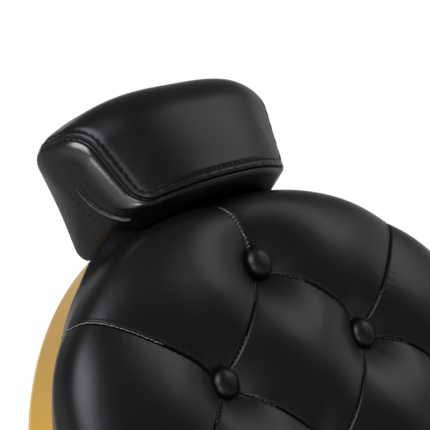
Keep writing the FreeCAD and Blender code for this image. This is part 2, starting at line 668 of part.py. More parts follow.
def seat_rail():
    """Square tube along the +X side of the seat, drilled for the hinge plates."""
    rail = box(RAIL_INNER_X, RAIL_OUTER_X, RAIL_FRONT_Y, RAIL_REAR_Y, RAIL_Z, SEAT_SHELL_Z)
    hollow = box(RAIL_INNER_X + TUBE_WALL, RAIL_OUTER_X - TUBE_WALL, RAIL_FRONT_Y, RAIL_REAR_Y,
                 RAIL_Z + TUBE_WALL, SEAT_SHELL_Z - TUBE_WALL)
    rail = rail.cut(hollow)
    hole = BOLT_RADIUS + BOLT_PLAY
    for y in plate_bolt_places():
        rail = rail.cut(rod_x(hole, RAIL_OUTER_X - TUBE_WALL, RAIL_OUTER_X, y, plate_bolt_z()))
    return rail


def plate_bolt_z():
    """Height of the bolts through the hinge plates: the middle of the rail."""
    return RAIL_Z + RAIL_HEIGHT / 2


def plate_bolt_places():
    """Distances along the rail of the bolts through the rear and front hinge plates."""
    rear = [HINGE_PLATE_FRONT_Y + PLATE_BOLT_INSET, RAIL_REAR_Y - HINGE_BOLT_REAR]
    front = [RAIL_FRONT_Y + LEG_PLATE_LENGTH / 2, RAIL_FRONT_Y + LEG_PLATE_LENGTH - PLATE_BOLT_INSET]
    return rear + front


def hinge_plate():
    """Rear plate on the +X rail that carries the recline hinge."""
    top = SEAT_SHELL_Z - SIDE_PLAY
    plate = box(RAIL_OUTER_X, PLATE_OUTER_X, HINGE_PLATE_FRONT_Y, PIVOT_Y, top - HINGE_PLATE_DEPTH, top)
    plate = plate.fuse(rod_x(HINGE_EYE_RADIUS, RAIL_OUTER_X, PLATE_OUTER_X, PIVOT_Y, PIVOT_Z))
    plate = plate.cut(rod_x(SHAFT_RADIUS + RUNNING_FIT, RAIL_OUTER_X, PLATE_OUTER_X, PIVOT_Y, PIVOT_Z))
    for y in plate_bolt_places()[:2]:
        plate = plate.cut(rod_x(BOLT_RADIUS + BOLT_PLAY, RAIL_OUTER_X, PLATE_OUTER_X, y, plate_bolt_z()))
    return plate.removeSplitter()


def legrest_plate():
    """Front plate on the +X rail that carries the legrest's pin."""
    top = SEAT_SHELL_Z - SIDE_PLAY
    rear = RAIL_FRONT_Y + LEG_PLATE_LENGTH
    plate = box(RAIL_OUTER_X, PLATE_OUTER_X, LEG_PIVOT_Y, rear, top - HINGE_PLATE_DEPTH, top)
    plate = plate.fuse(rod_x(LEG_EYE_RADIUS, RAIL_OUTER_X, PLATE_OUTER_X, LEG_PIVOT_Y, LEG_PIVOT_Z))
    plate = plate.cut(rod_x(LEG_PIN_RADIUS, RAIL_OUTER_X, PLATE_OUTER_X, LEG_PIVOT_Y, LEG_PIVOT_Z))
    for y in plate_bolt_places()[2:]:
        plate = plate.cut(rod_x(BOLT_RADIUS + BOLT_PLAY, RAIL_OUTER_X, PLATE_OUTER_X, y, plate_bolt_z()))
    return plate.removeSplitter()


def frame_bolts():
    """Bolts of hub plate and hinge plates."""
    bolts = []
    for x, y in hub_bolt_places():
        bolts.append(bolt(V(x, y, HUB_PLATE_Z), Z_AXIS * -1, HUB_PLATE_THICKNESS + TUBE_WALL))
    grip = HINGE_PLATE_THICKNESS + TUBE_WALL
    for y in plate_bolt_places():
        bolts += both_sides(bolt(V(PLATE_OUTER_X, y, plate_bolt_z()), X_AXIS, grip))
    return group(bolts)


def recliner_housing():
    """Fixed half of the +X recliner lock, on the hinge plate."""
    disc = rod_x(RECLINER_RADIUS, PLATE_OUTER_X, FIXED_OUTER_X, PIVOT_Y, PIVOT_Z)
    return disc.cut(rod_x(SHAFT_RADIUS + RUNNING_FIT, PLATE_OUTER_X, FIXED_OUTER_X, PIVOT_Y, PIVOT_Z))


def recliner_disc():
    """Moving half of the +X recliner lock, on the upright."""
    disc = rod_x(RECLINER_RADIUS, MOVING_INNER_X, UPRIGHT_INNER_X, PIVOT_Y, PIVOT_Z)
    return disc.cut(rod_x(SHAFT_RADIUS + RUNNING_FIT, MOVING_INNER_X, UPRIGHT_INNER_X, PIVOT_Y, PIVOT_Z))


def legrest_pin():
    """Headed pin of the +X legrest arm, pressed into the front plate."""
    head_start = LEG_ARM_OUTER_X + SIDE_PLAY
    pin = rod_x(LEG_PIN_RADIUS, RAIL_OUTER_X, head_start, LEG_PIVOT_Y, LEG_PIVOT_Z)
    head_end = head_start + LEG_PIN_HEAD_LENGTH
    return pin.fuse(rod_x(LEG_PIN_HEAD, head_start, head_end, LEG_PIVOT_Y, LEG_PIVOT_Z))


# Seat

def seat_shell():
    """Gold pan under the seat: floor and low wall with rounded corners."""
    outer = rounded_rectangle(SEAT_HALF_WIDTH, SEAT_FRONT_Y, SEAT_REAR_Y, SEAT_SHELL_Z, SEAT_CORNER_RADIUS)
    pan = slab(outer, V(0, 0, SEAT_SHELL_HEIGHT))
    lower = [e for e in pan.Edges if abs(e.BoundBox.ZMax - SEAT_SHELL_Z) < 0.01]
    pan = pan.makeFillet(SEAT_SHELL_WALL * 2, lower)
    wall = SEAT_SHELL_WALL
    inner = rounded_rectangle(SEAT_HALF_WIDTH - wall, SEAT_FRONT_Y + wall, SEAT_REAR_Y - wall,
                              SEAT_BOARD_Z, SEAT_CORNER_RADIUS - wall)
    return pan.cut(slab(inner, V(0, 0, SEAT_SHELL_HEIGHT)))


def seat_board():
    """Plywood board in the pan."""
    inset = SEAT_SHELL_WALL + SOFT_PLAY + SEAT_SHELL_WALL
    outline = rounded_rectangle(SEAT_HALF_WIDTH - inset, SEAT_FRONT_Y + inset, SEAT_REAR_Y - inset,
                                SEAT_BOARD_Z, SEAT_CORNER_RADIUS - inset)
    return slab(outline, V(0, 0, SEAT_BOARD_THICKNESS))


def seat_cushion():
    """Crowned seat padding on the board, inside the pan's wall."""
    inset = SEAT_SHELL_WALL + SOFT_PLAY
    return crowned_pad(SEAT_HALF_WIDTH - inset, SEAT_FRONT_Y + inset, SEAT_REAR_Y - inset,
                       SEAT_CORNER_RADIUS - inset, SEAT_CUSHION_Z, SEAT_CUSHION_HEIGHT, SEAT_DRAW,
                       SEAT_CROWN_SHARE)


# Arms

def arm_frame():
    """Cast loop of the +X arm: foot on the cross tubes, raked posts, level top."""
    foot_z = CROSS_Z - ARM_FOOT_DROP
    corners = [V(ARM_INNER_X, ARM_FOOT_FRONT_Y, foot_z), V(ARM_INNER_X, ARM_FOOT_REAR_Y, foot_z),
               V(ARM_INNER_X, ARM_TOP_REAR_Y, ARM_TOP_Z), V(ARM_INNER_X, ARM_TOP_FRONT_Y, ARM_TOP_Z)]
    outer = rounded_loop(corners, ARM_CORNER_RADIUS)
    inner = outer.makeOffset2D(-ARM_BAR_WIDTH)
    loop = slab(outer, V(ARM_THICKNESS, 0, 0))
    edges = [e for e in loop.Edges if e.BoundBox.XLength < 0.01]
    loop = loop.makeFillet(ARM_THICKNESS / 5, edges)
    loop = loop.cut(slab(inner, V(ARM_THICKNESS, 0, 0)))
    hole = BOLT_RADIUS + BOLT_PLAY
    for y in (CROSS_SPACING / 2, -CROSS_SPACING / 2):
        loop = loop.cut(rod_x(hole, ARM_INNER_X, ARM_OUTER_X, y, CROSS_Z + CROSS_HEIGHT / 2))
    return loop


def arm_bolts():
    """Bolts through both arms into the cross tubes."""
    bolts = []
    for y in (CROSS_SPACING / 2, -CROSS_SPACING / 2):
        start = V(ARM_OUTER_X, y, CROSS_Z + CROSS_HEIGHT / 2)
        bolts += both_sides(bolt(start, X_AXIS, ARM_THICKNESS + CROSS_END_PLATE))
    return group(bolts)


def arm_pad():
    """Padded top of the +X arm."""
    middle = (ARM_INNER_X + ARM_OUTER_X) / 2
    half = ARM_PAD_WIDTH / 2
    pad = crowned_pad(half, ARM_TOP_FRONT_Y - ARM_PAD_OVERHANG, ARM_TOP_REAR_Y + ARM_PAD_OVERHANG, half * 0.8,
                      ARM_TOP_Z, ARM_PAD_HEIGHT, PAD_DRAW, PAD_CROWN_SHARE)
    return turned(pad, FreeCAD.Placement(V(middle, 0, 0), FreeCAD.Rotation()))


# Release shaft and lever

def cross_shaft():
    """Shaft through both recliner locks, with an end collar on the -X side."""
    collar_start = -UPRIGHT_OUTER_X - SIDE_PLAY
    shaft = rod_x(SHAFT_RADIUS, collar_start - SHAFT_COLLAR_LENGTH, RELEASE_INNER_X + RELEASE_THICKNESS,
                  PIVOT_Y, PIVOT_Z)
    collar = rod_x(SHAFT_COLLAR_RADIUS, collar_start - SHAFT_COLLAR_LENGTH, collar_start, PIVOT_Y, PIVOT_Z)
    return shaft.fuse(collar).removeSplitter()


def release_tip():
    """Centre of the release lever's outer end."""
    angle = math.radians(RELEASE_RISE)
    return V(0, PIVOT_Y - RELEASE_LENGTH * math.cos(angle), PIVOT_Z + RELEASE_LENGTH * math.sin(angle))


def release_lever():
    """Flat lever on the shaft's end, tapering to the grip."""
    outer_x = RELEASE_INNER_X + RELEASE_THICKNESS
    lever = strap(V(0, PIVOT_Y, PIVOT_Z), SHAFT_RADIUS * 2, release_tip(), RELEASE_TIP_RADIUS,
                  RELEASE_INNER_X, outer_x)
    return lever.cut(rod_x(SHAFT_RADIUS, RELEASE_INNER_X, outer_x, PIVOT_Y, PIVOT_Z))


def release_grip():
    """Round grip over the lever's end."""
    tip = release_tip()
    along = (tip - V(0, PIVOT_Y, PIVOT_Z)).normalize()
    middle_x = RELEASE_INNER_X + RELEASE_THICKNESS / 2
    start = V(middle_x, tip.y, tip.z) + along * (RELEASE_GRIP_RADIUS - RELEASE_GRIP_LENGTH)
    grip = Part.makeCylinder(RELEASE_GRIP_RADIUS, RELEASE_GRIP_LENGTH, start, along)
    rims = [e for e in grip.Edges if isinstance(e.Curve, Part.Circle)]
    return grip.makeFillet(RELEASE_GRIP_RADIUS / 3, rims).cut(release_lever())


# Back: built in its own frame, X across, Y backwards, Z up from the disc's centre

def disc_solid(edges):
    """Solid of revolution about the axis of the round back."""
    return revolved(edges, V(0, 0, 0), Y_AXIS)


def seam_cutter(start, end):
    """Trough along a seam: two convex flanks that meet in a crease below the crest."""
    along = end - start
    length = along.Length
    radius = (SEAM_HALF_WIDTH ** 2 + SEAM_DEPTH ** 2) / (2 * SEAM_DEPTH)
    crest = -CUTTER_LIFT
    half = SEAM_HALF_WIDTH / 2
    flank = radius - math.sqrt(radius ** 2 - half ** 2)
    crease = V(0, SEAM_DEPTH - CUTTER_LIFT, 0)
    left = V(-SEAM_HALF_WIDTH, crest, 0)
    right = V(SEAM_HALF_WIDTH, crest, 0)
    edges = [arc(crease, V(half, flank - CUTTER_LIFT, 0), right)]
    edges += path([right, right + V(0, -BACK_CREST, 0), left + V(0, -BACK_CREST, 0), left])
    edges.append(arc(left, V(-half, flank - CUTTER_LIFT, 0), crease))
    trough = slab(Part.Wire(edges), V(0, 0, length))
    side = Y_AXIS.cross(along / length)
    turn = FreeCAD.Rotation(side, Y_AXIS, along / length, "ZYX")
    trough.Placement = FreeCAD.Placement(V(start.x, CREST_Y, start.z), turn)
    return trough


def pit_cutter(place):
    """Dimple round a button, with a straight seat for the button's foot."""
    depth = BACK_CREST
    radius = (PIT_RADIUS ** 2 + depth ** 2) / (2 * depth)
    half = PIT_RADIUS / 2
    flank = radius - math.sqrt(radius ** 2 - half ** 2)
    bottom = V(0, BUTTON_Y - CUTTER_LIFT, 0)
    rim = V(PIT_RADIUS, CREST_Y - CUTTER_LIFT, 0)
    edges = [arc(bottom, V(half, CREST_Y + flank - CUTTER_LIFT, 0), rim)]
    edges += path([rim, rim + V(0, -BACK_CREST, 0), V(0, rim.y - BACK_CREST, 0), bottom])
    pit = revolved(edges, V(0, 0, 0), Y_AXIS)
    seat = rod_y(BUTTON_RADIUS + BUTTON_PLAY, CREST_Y - BACK_CREST, BUTTON_Y - BUTTON_SEAT, 0, 0)
    pit = pit.fuse(seat)
    pit.translate(place)
    return pit


def button_places():
    """The nine buttons: a diamond lattice in the disc."""
    steps = [(0, 0), (0, 2), (0, -2), (2, 0), (-2, 0), (1, 1), (1, -1), (-1, 1), (-1, -1)]
    return [V(TUFT_PITCH * i, 0, TUFT_PITCH * j) for i, j in steps]


def seam_lines():
    """Straight seams: two diagonals across the disc, four sides of the lattice, four out to the rim."""
    far = BACK_RADIUS * SEAM_OVERRUN
    diagonal = far * math.sqrt(0.5)
    tip = 2 * TUFT_PITCH
    lines = [(V(-diagonal, 0, -diagonal), V(diagonal, 0, diagonal)),
             (V(-diagonal, 0, diagonal), V(diagonal, 0, -diagonal))]
    tips = [V(tip, 0, 0), V(0, 0, tip), V(-tip, 0, 0), V(0, 0, -tip)]
    for i, corner in enumerate(tips):
        lines.append((corner, tips[(i + 1) % 4]))
        lines.append((corner, corner * (far / tip)))
    return lines


def back_cushion():
    """Round padding with a rounded edge, sunk along the seams and at the buttons."""
    edge = BACK_EDGE_ROUND
    rim = V(BACK_FRONT_RADIUS, CREST_Y + edge, 0)
    round_end = V(BACK_FRONT_RADIUS - edge, CREST_Y, 0)
    diagonal = edge * math.sqrt(0.5)
    round_mid = V(BACK_FRONT_RADIUS - edge + diagonal, CREST_Y + edge - diagonal, 0)
    edges = path([V(0, CREST_Y, 0), V(0, CUSHION_REAR_Y, 0), V(BACK_RADIUS, CUSHION_REAR_Y, 0), rim])
    edges.append(arc(rim, round_mid, round_end))
    edges += path([round_end, V(0, CREST_Y, 0)])
    padding = disc_solid(edges)
    cutters = [seam_cutter(a, b) for a, b in seam_lines()] + [pit_cutter(p) for p in button_places()]
    for cutter in cutters:
        padding = padding.cut(cutter)
    return turned(padding, DISC_PLACE)


def back_buttons():
    """Covered buttons: short drum with a domed face."""
    foot = BUTTON_Y - BUTTON_SEAT
    rim = V(BUTTON_RADIUS, BUTTON_Y - BUTTON_RIM, 0)
    top = V(0, BUTTON_Y - BUTTON_TOP, 0)
    rise = BUTTON_TOP - BUTTON_RIM
    dome = (BUTTON_RADIUS ** 2 + rise ** 2) / (2 * rise)
    half = BUTTON_RADIUS / 2
    middle = V(half, top.y + dome - math.sqrt(dome ** 2 - half ** 2), 0)
    edges = path([top, V(0, foot, 0), V(BUTTON_RADIUS, foot, 0), rim])
    edges.append(arc(rim, middle, top))
    button = disc_solid(edges)
    solids = []
    for place in button_places():
        copy = button.copy()
        copy.translate(place)
        solids.append(copy)
    return turned(group(solids), DISC_PLACE)


def back_bolt_places():
    """Bolts through the +X upright's flange into the back board."""
    x = UPRIGHT_INNER_X - UPRIGHT_FLANGE / 2
    first = FLANGE_START + BACK_BOLT_FIRST - DISC_UP
    return [V(x, 0, first + BACK_BOLT_PITCH * i) for i in range(BACK_BOLT_COUNT)]


def back_board():
    """Plywood disc behind the padding, drilled for the uprights."""
    board = rod_y(BACK_RADIUS - SHELL_WALL - BOARD_EDGE_PLAY, CUSHION_REAR_Y, BOARD_REAR_Y, 0, 0)
    hole = BACK_BOLT_RADIUS + BOLT_PLAY
    for place in back_bolt_places():
        for x in (place.x, -place.x):
            board = board.cut(rod_y(hole, CUSHION_REAR_Y, BOARD_REAR_Y, x, place.z))
    return turned(board, DISC_PLACE)


def back_bolts():
    """Bolts of both uprights."""
    solids = []
    for place in back_bolt_places():
        start = V(place.x, BOARD_REAR_Y + FLANGE_THICKNESS, place.z)
        solids += both_sides(bolt(start, Y_AXIS, FLANGE_THICKNESS + BOARD_THICKNESS, BACK_BOLT_RADIUS))
    return turned(group(solids), DISC_PLACE)


def back_shell():
    """Gold dish behind the padding: tapered side, rounded edge, flat rear, slots for uprights and post."""
    rim = V(BACK_RADIUS, CUSHION_REAR_Y, 0)
    side = V(BACK_RADIUS - SHELL_TAPER, CUSHION_REAR_Y + SHELL_SIDE, 0)
    flat = V(SHELL_FLAT_RADIUS, SHELL_REAR_Y, 0)
    bulge = V(side.x - (side.x - flat.x) * SHELL_BULGE_OUT, side.y + (flat.y - side.y) * SHELL_BULGE_BACK, 0)
    wall = SHELL_WALL
    inner_rim = rim + V(-wall, 0, 0)
    inner_side = side + V(-wall, 0, 0)
    inner_flat = flat + V(-wall / 2, -wall, 0)
    inner_bulge = bulge + V(-wall, -wall / 2, 0)
    edges = path([inner_rim, rim, side])
    edges.append(arc(side, bulge, flat))
    edges += path([flat, V(0, SHELL_REAR_Y, 0), V(0, SHELL_INNER_REAR_Y, 0), inner_flat])
    edges.append(arc(inner_flat, inner_bulge, inner_side))
    edges += path([inner_side, inner_rim])
    dish = disc_solid(edges)
    y0, y1 = upright_depths()
    slot = box(UPRIGHT_INNER_X - SLOT_PLAY, UPRIGHT_OUTER_X + SLOT_PLAY, y0 - SLOT_PLAY, y1 + SLOT_PLAY,
               -BACK_RADIUS, -BACK_RADIUS / 2)
    for cutter in both_sides(slot):
        dish = dish.cut(cutter)
    dish = dish.cut(post_box(SLOT_PLAY, SLEEVE_TOP_UP, BACK_RADIUS))
    dish = dish.cut(rod_y(KNOB_SCREW_RADIUS + KNOB_GAP, SHELL_INNER_REAR_Y, SHELL_REAR_Y, 0, KNOB_UP))
    return turned(dish, DISC_PLACE)


def upright_depths():
    """Front and rear edge of the uprights in the back's frame: the front edge lies on the back board."""
    return BOARD_REAR_Y, BOARD_REAR_Y + UPRIGHT_WIDTH


def lever_end(lean):
    """End of a crank that points straight down at rest, in a frame that leans by the given angle."""
    angle = math.radians(lean)
    return V(0, LEVER * math.sin(angle), -LEVER * math.cos(angle))


def back_upright():
    """Upright of the +X side: eye on the shaft, crank for the drag link, flanged bar behind the board."""
    y0, y1 = upright_depths()
    x0, x1 = UPRIGHT_INNER_X, UPRIGHT_OUTER_X
    crank = lever_end(RECLINE)
    bar = box(x0, x1, y0, y1, 0, UPRIGHT_LENGTH).fuse(rod_x(HINGE_EYE_RADIUS, x0, x1, 0, 0))
    bar = bar.fuse(strap(V(0, 0, 0), HINGE_EYE_RADIUS, crank, LINK_BOSS_RADIUS, x0, x1))
    bar = bar.fuse(box(x0 - UPRIGHT_FLANGE, x0, y0, y0 + FLANGE_THICKNESS, FLANGE_START, UPRIGHT_LENGTH))
    bar = bar.cut(rod_x(SHAFT_RADIUS + RUNNING_FIT, x0, x1, 0, 0))
    bar = bar.cut(rod_x(LINK_PIN_RADIUS, x0, x1, crank.y, crank.z))
    hole = BACK_BOLT_RADIUS + BOLT_PLAY
    for place in back_bolt_places():
        bar = bar.cut(rod_y(hole, y0, y0 + FLANGE_THICKNESS, place.x, place.z + DISC_UP))
    return turned(bar.removeSplitter(), BACK_PLACE)


def rear_link_pin():
    """Pin of the +X drag link, pressed into the upright's crank, with a head inside the link."""
    crank = lever_end(RECLINE)
    head_end = LINK_INNER_X - SIDE_PLAY
    pin = rod_x(LINK_PIN_RADIUS, head_end, UPRIGHT_OUTER_X, crank.y, crank.z)
    head = rod_x(LINK_PIN_HEAD, head_end - (LINK_SPACE - 2 * SIDE_PLAY), head_end, crank.y, crank.z)
    return turned(pin.fuse(head), BACK_PLACE)


def drag_link():
    """Flat link of the +X side, from the upright's crank to the legrest's."""
    rear = V(0, PIVOT_Y, PIVOT_Z - LEVER)
    front = V(0, LEG_PIVOT_Y, LEG_PIVOT_Z - LEVER)
    link = strap(rear, LINK_HALF_HEIGHT, front, LINK_HALF_HEIGHT, LINK_INNER_X, LINK_OUTER_X)
    link = link.cut(rod_x(LINK_PIN_RADIUS + RUNNING_FIT, LINK_INNER_X, LINK_OUTER_X, rear.y, rear.z))
    return link.cut(rod_x(LINK_PIN_RADIUS + LINK_OPEN_PLAY, LINK_INNER_X, LINK_OUTER_X, front.y, front.z))


# Legrest: built in its own frame, hanging straight down from its pivot

def legrest_arm():
    """Flat arm of the +X side: eye, boss for the drag link, foot that carries the footplate's pin."""
    x0, x1 = LEG_ARM_INNER_X, LEG_ARM_OUTER_X
    half = LEG_ARM_WIDTH / 2
    crank = lever_end(LEG_LEAN)
    arm = box(x0, x1, -half, half, -LEG_ARM_LENGTH, 0).fuse(rod_x(LEG_EYE_RADIUS, x0, x1, 0, 0))
    arm = arm.fuse(rod_x(LINK_BOSS_RADIUS, x0, x1, crank.y, crank.z))
    arm = arm.fuse(strap(V(0, 0, -FOOT_PIN_DROP), FOOT_EYE_RADIUS, V(0, -FOOT_PIN_FORWARD, -FOOT_PIN_DROP),
                         FOOT_EYE_RADIUS, x0, x1))
    arm = arm.cut(rod_x(LEG_PIN_RADIUS + RUNNING_FIT, x0, x1, 0, 0))
    arm = arm.cut(rod_x(LINK_PIN_RADIUS, x0, x1, crank.y, crank.z))
    arm = arm.cut(rod_x(FOOT_PIN_RADIUS, x0, x1, -FOOT_PIN_FORWARD, -FOOT_PIN_DROP))
    return turned(arm.removeSplitter(), LEG_PLACE)


def front_link_pin():
    """Pin of the +X drag link, pressed into the legrest's arm, with a head outside the link."""
    crank = lever_end(LEG_LEAN)
    head_start = LINK_OUTER_X + SIDE_PLAY
    pin = rod_x(LINK_PIN_RADIUS, LEG_ARM_INNER_X, head_start, crank.y, crank.z)
    head = rod_x(LINK_PIN_HEAD, head_start, head_start + LINK_SPACE, crank.y, crank.z)
    return turned(pin.fuse(head), LEG_PLACE)


def legrest_tie():
    """Round bar between the two legrest arms."""
    bar = rod_x(LEG_TIE_RADIUS, -LEG_ARM_INNER_X, LEG_ARM_INNER_X, 0, -LEG_TIE_DROP)
    return turned(bar, LEG_PLACE)


def legrest_board():
    """Plywood board on the front edges of the arms."""
    front = -LEG_ARM_WIDTH / 2 - LEG_BOARD_THICKNESS
    low = -LEG_PAD_TOP - LEG_PAD_HEIGHT
    corners = [V(-LEG_HALF_WIDTH, front, low), V(LEG_HALF_WIDTH, front, low),
               V(LEG_HALF_WIDTH, front, -LEG_PAD_TOP), V(-LEG_HALF_WIDTH, front, -LEG_PAD_TOP)]
    return turned(slab(rounded_loop(corners, LEG_PAD_CORNER), V(0, LEG_BOARD_THICKNESS, 0)), LEG_PLACE)


def legrest_cushion():
    """Crowned calf pad on the board."""
    pad = crowned_pad(LEG_HALF_WIDTH, 0, LEG_PAD_HEIGHT, LEG_PAD_CORNER, 0, LEG_PAD_THICKNESS, PAD_DRAW,
                      PAD_CROWN_SHARE)
    front = -LEG_ARM_WIDTH / 2 - LEG_BOARD_THICKNESS
    upright = FreeCAD.Placement(V(0, front, -LEG_PAD_TOP - LEG_PAD_HEIGHT), FreeCAD.Rotation(X_AXIS, 90))
    return turned(turned(pad, upright), LEG_PLACE)


def foot_pin():
    """Hinge pin of the footplate, through both legrest arms."""
    pin = rod_x(FOOT_PIN_RADIUS, -LEG_ARM_OUTER_X, LEG_ARM_OUTER_X, -FOOT_PIN_FORWARD, -FOOT_PIN_DROP)
    return turned(pin, LEG_PLACE)


def footplate():
    """Cast footplate with rounded corners and two knuckles on its hinge pin."""
    y1 = -FOOT_PIN_FORWARD - FOOT_REAR_GAP
    y0 = y1 - FOOT_DEPTH
    top = -FOOT_PIN_DROP
    low = top - FOOT_THICKNESS
    plate = slab(rounded_rectangle(FOOT_HALF_WIDTH, y0, y1, low, FOOT_CORNER), V(0, 0, FOOT_THICKNESS))
    outer = LEG_ARM_INNER_X - SIDE_PLAY
    inner = outer - FOOT_KNUCKLE_LENGTH
    knuckle = rod_x(FOOT_KNUCKLE_RADIUS, inner, outer, -FOOT_PIN_FORWARD, top)
    knuckle = knuckle.fuse(box(inner, outer, y1 - FOOT_REAR_GAP, -FOOT_PIN_FORWARD, low, top))
    for part in both_sides(knuckle):
        plate = plate.fuse(part)
    plate = plate.cut(rod_x(FOOT_PIN_RADIUS + RUNNING_FIT, -outer, outer, -FOOT_PIN_FORWARD, top))
    return turned(plate.removeSplitter(), LEG_PLACE)


def footplate_mat():
    """Ribbed rubber mat on the footplate."""
    y1 = -FOOT_PIN_FORWARD - FOOT_REAR_GAP - MAT_MARGIN
    y0 = y1 - FOOT_DEPTH + 2 * MAT_MARGIN
    half = FOOT_HALF_WIDTH - MAT_MARGIN
    top = -FOOT_PIN_DROP
    mat = slab(rounded_rectangle(half, y0, y1, top, FOOT_CORNER - MAT_MARGIN), V(0, 0, MAT_THICKNESS))
    pitch = (y1 - y0) / (MAT_RIB_COUNT + 1)
    for i in range(MAT_RIB_COUNT):
        y = y0 + pitch * (i + 1) - MAT_RIB_WIDTH / 2
        mat = mat.fuse(box(MAT_MARGIN - half, half - MAT_MARGIN, y, y + MAT_RIB_WIDTH,
                           top + MAT_THICKNESS, top + MAT_THICKNESS + MAT_RIB_HEIGHT))
    return turned(mat.removeSplitter(), LEG_PLACE)


# Headrest: section in the back's frame, Y backwards, Z up from the disc's centre

def head_point(forward, up):
    """Point of the headrest's section, from its rear lower edge, in the back's frame."""
    lean = math.radians(HEAD_LEAN)
    z = HEAD_UP + up * math.cos(lean) + forward * math.sin(lean)
    n = -HEAD_BEHIND - up * math.sin(lean) + forward * math.cos(lean)
    return V(0, BUTTON_Y - n, z)


def head_section(x, inset):
    """Rounded section of the headrest at a distance from its middle, hollowed round the head."""
    corners = [(0, 0), (HEAD_BOTTOM_DEPTH, HEAD_FRONT_LIFT), (HEAD_TOP_DEPTH, HEAD_HEIGHT - HEAD_TOP_DROP),
               (HEAD_REAR_SLOPE, HEAD_HEIGHT)]
    middle_f = sum(c[0] for c in corners) / 4
    middle_u = sum(c[1] for c in corners) / 4
    bend = x * x / (2 * HEAD_BEND_RADIUS)
    points = []
    for forward, up in corners:
        shrink_f = 1 - inset / (HEAD_BOTTOM_DEPTH / 2)
        shrink_u = 1 - inset / (HEAD_HEIGHT / 2)
        drawn_f = middle_f + (forward - middle_f) * shrink_f
        drawn_u = middle_u + (up - middle_u) * shrink_u
        point = head_point(drawn_f + bend, drawn_u)
        points.append(point + V(x, 0, 0))
    return rounded_loop(points, HEAD_ROUND - inset * 0.3)


def post_box(play, z0, z1):
    """Block of the headrest post, grown by a play on its four sides."""
    half = POST_WIDTH / 2 + play
    return box(-half, half, POST_FRONT_Y - play, POST_REAR_Y + play, z0, z1)


def head_board_box():
    """Board inside the headrest, standing on the post's front face."""
    top = POST_TOP_UP + HEAD_BOARD_RISE
    half = HEAD_BOARD_HALF_WIDTH
    return box(-half, half, POST_FRONT_Y - HEAD_BOARD_THICKNESS, POST_FRONT_Y, top - HEAD_BOARD_HEIGHT, top)


def headrest_cushion():
    """Wrapped head pad: four-sided rounded section, ends drawn in, underside arched over the round back."""
    end = HEAD_HALF_WIDTH
    stations = [(end, HEAD_END_ROUND), (end - HEAD_END_ROUND * 0.3, HEAD_END_ROUND * 0.4),
                (end - HEAD_END_ROUND, HEAD_END_EASE), (end * HEAD_FULL_SHARE, 0.0), (0.0, 0.0)]
    rings = [head_section(-x, inset) for x, inset in stations]
    rings += [head_section(x, inset) for x, inset in reversed(stations[:-1])]
    pad = Part.makeLoft(rings, True, False)
    pad = pad.cut(rod_y(BACK_RADIUS + HEAD_CLEARANCE, CREST_Y - BACK_CREST, SHELL_REAR_Y * 2, 0, 0))
    pad = pad.cut(head_board_box()).cut(post_box(0, POST_FOOT_UP, POST_TOP_UP))
    return turned(pad, DISC_PLACE)


def headrest_board():
    """Plywood stiffener of the headrest."""
    return turned(head_board_box(), DISC_PLACE)


def headrest_post():
    """Flat steel post that slides in the back."""
    return turned(post_box(0, POST_FOOT_UP, POST_TOP_UP), DISC_PLACE)


def post_sleeve():
    """Sleeve on the back board that guides the post, drilled for the knob's screw."""
    outer_half = POST_WIDTH / 2 + RUNNING_FIT + SLEEVE_WALL
    rear = POST_REAR_Y + RUNNING_FIT + SLEEVE_WALL
    sleeve = box(-outer_half, outer_half, BOARD_REAR_Y, rear, SLEEVE_FOOT_UP, SLEEVE_TOP_UP)
    sleeve = sleeve.cut(post_box(RUNNING_FIT, SLEEVE_FOOT_UP, SLEEVE_TOP_UP))
    sleeve = sleeve.cut(rod_y(KNOB_SCREW_RADIUS + RUNNING_FIT, POST_REAR_Y, rear, 0, KNOB_UP))
    return turned(sleeve, DISC_PLACE)


def headrest_knob():
    """Clamp knob behind the shell: lobed grip on a screw that reaches to the post."""
    start = SHELL_REAR_Y + KNOB_GAP
    grip = rod_y(KNOB_RADIUS, start, start + KNOB_LENGTH, 0, KNOB_UP)
    rims = [e for e in grip.Edges if isinstance(e.Curve, Part.Circle)]
    grip = grip.makeFillet(KNOB_LENGTH / 6, rims)
    for i in range(KNOB_LOBES):
        angle = 2 * math.pi * i / KNOB_LOBES
        x = KNOB_GROOVE_OFFSET * math.cos(angle)
        z = KNOB_UP + KNOB_GROOVE_OFFSET * math.sin(angle)
        grip = grip.cut(rod_y(KNOB_GROOVE_RADIUS, start, start + KNOB_LENGTH, x, z))
    screw = rod_y(KNOB_SCREW_RADIUS, POST_REAR_Y + KNOB_GAP, start + KNOB_LENGTH / 2, 0, KNOB_UP)
    return turned(grip.fuse(screw).removeSplitter(), DISC_PLACE)


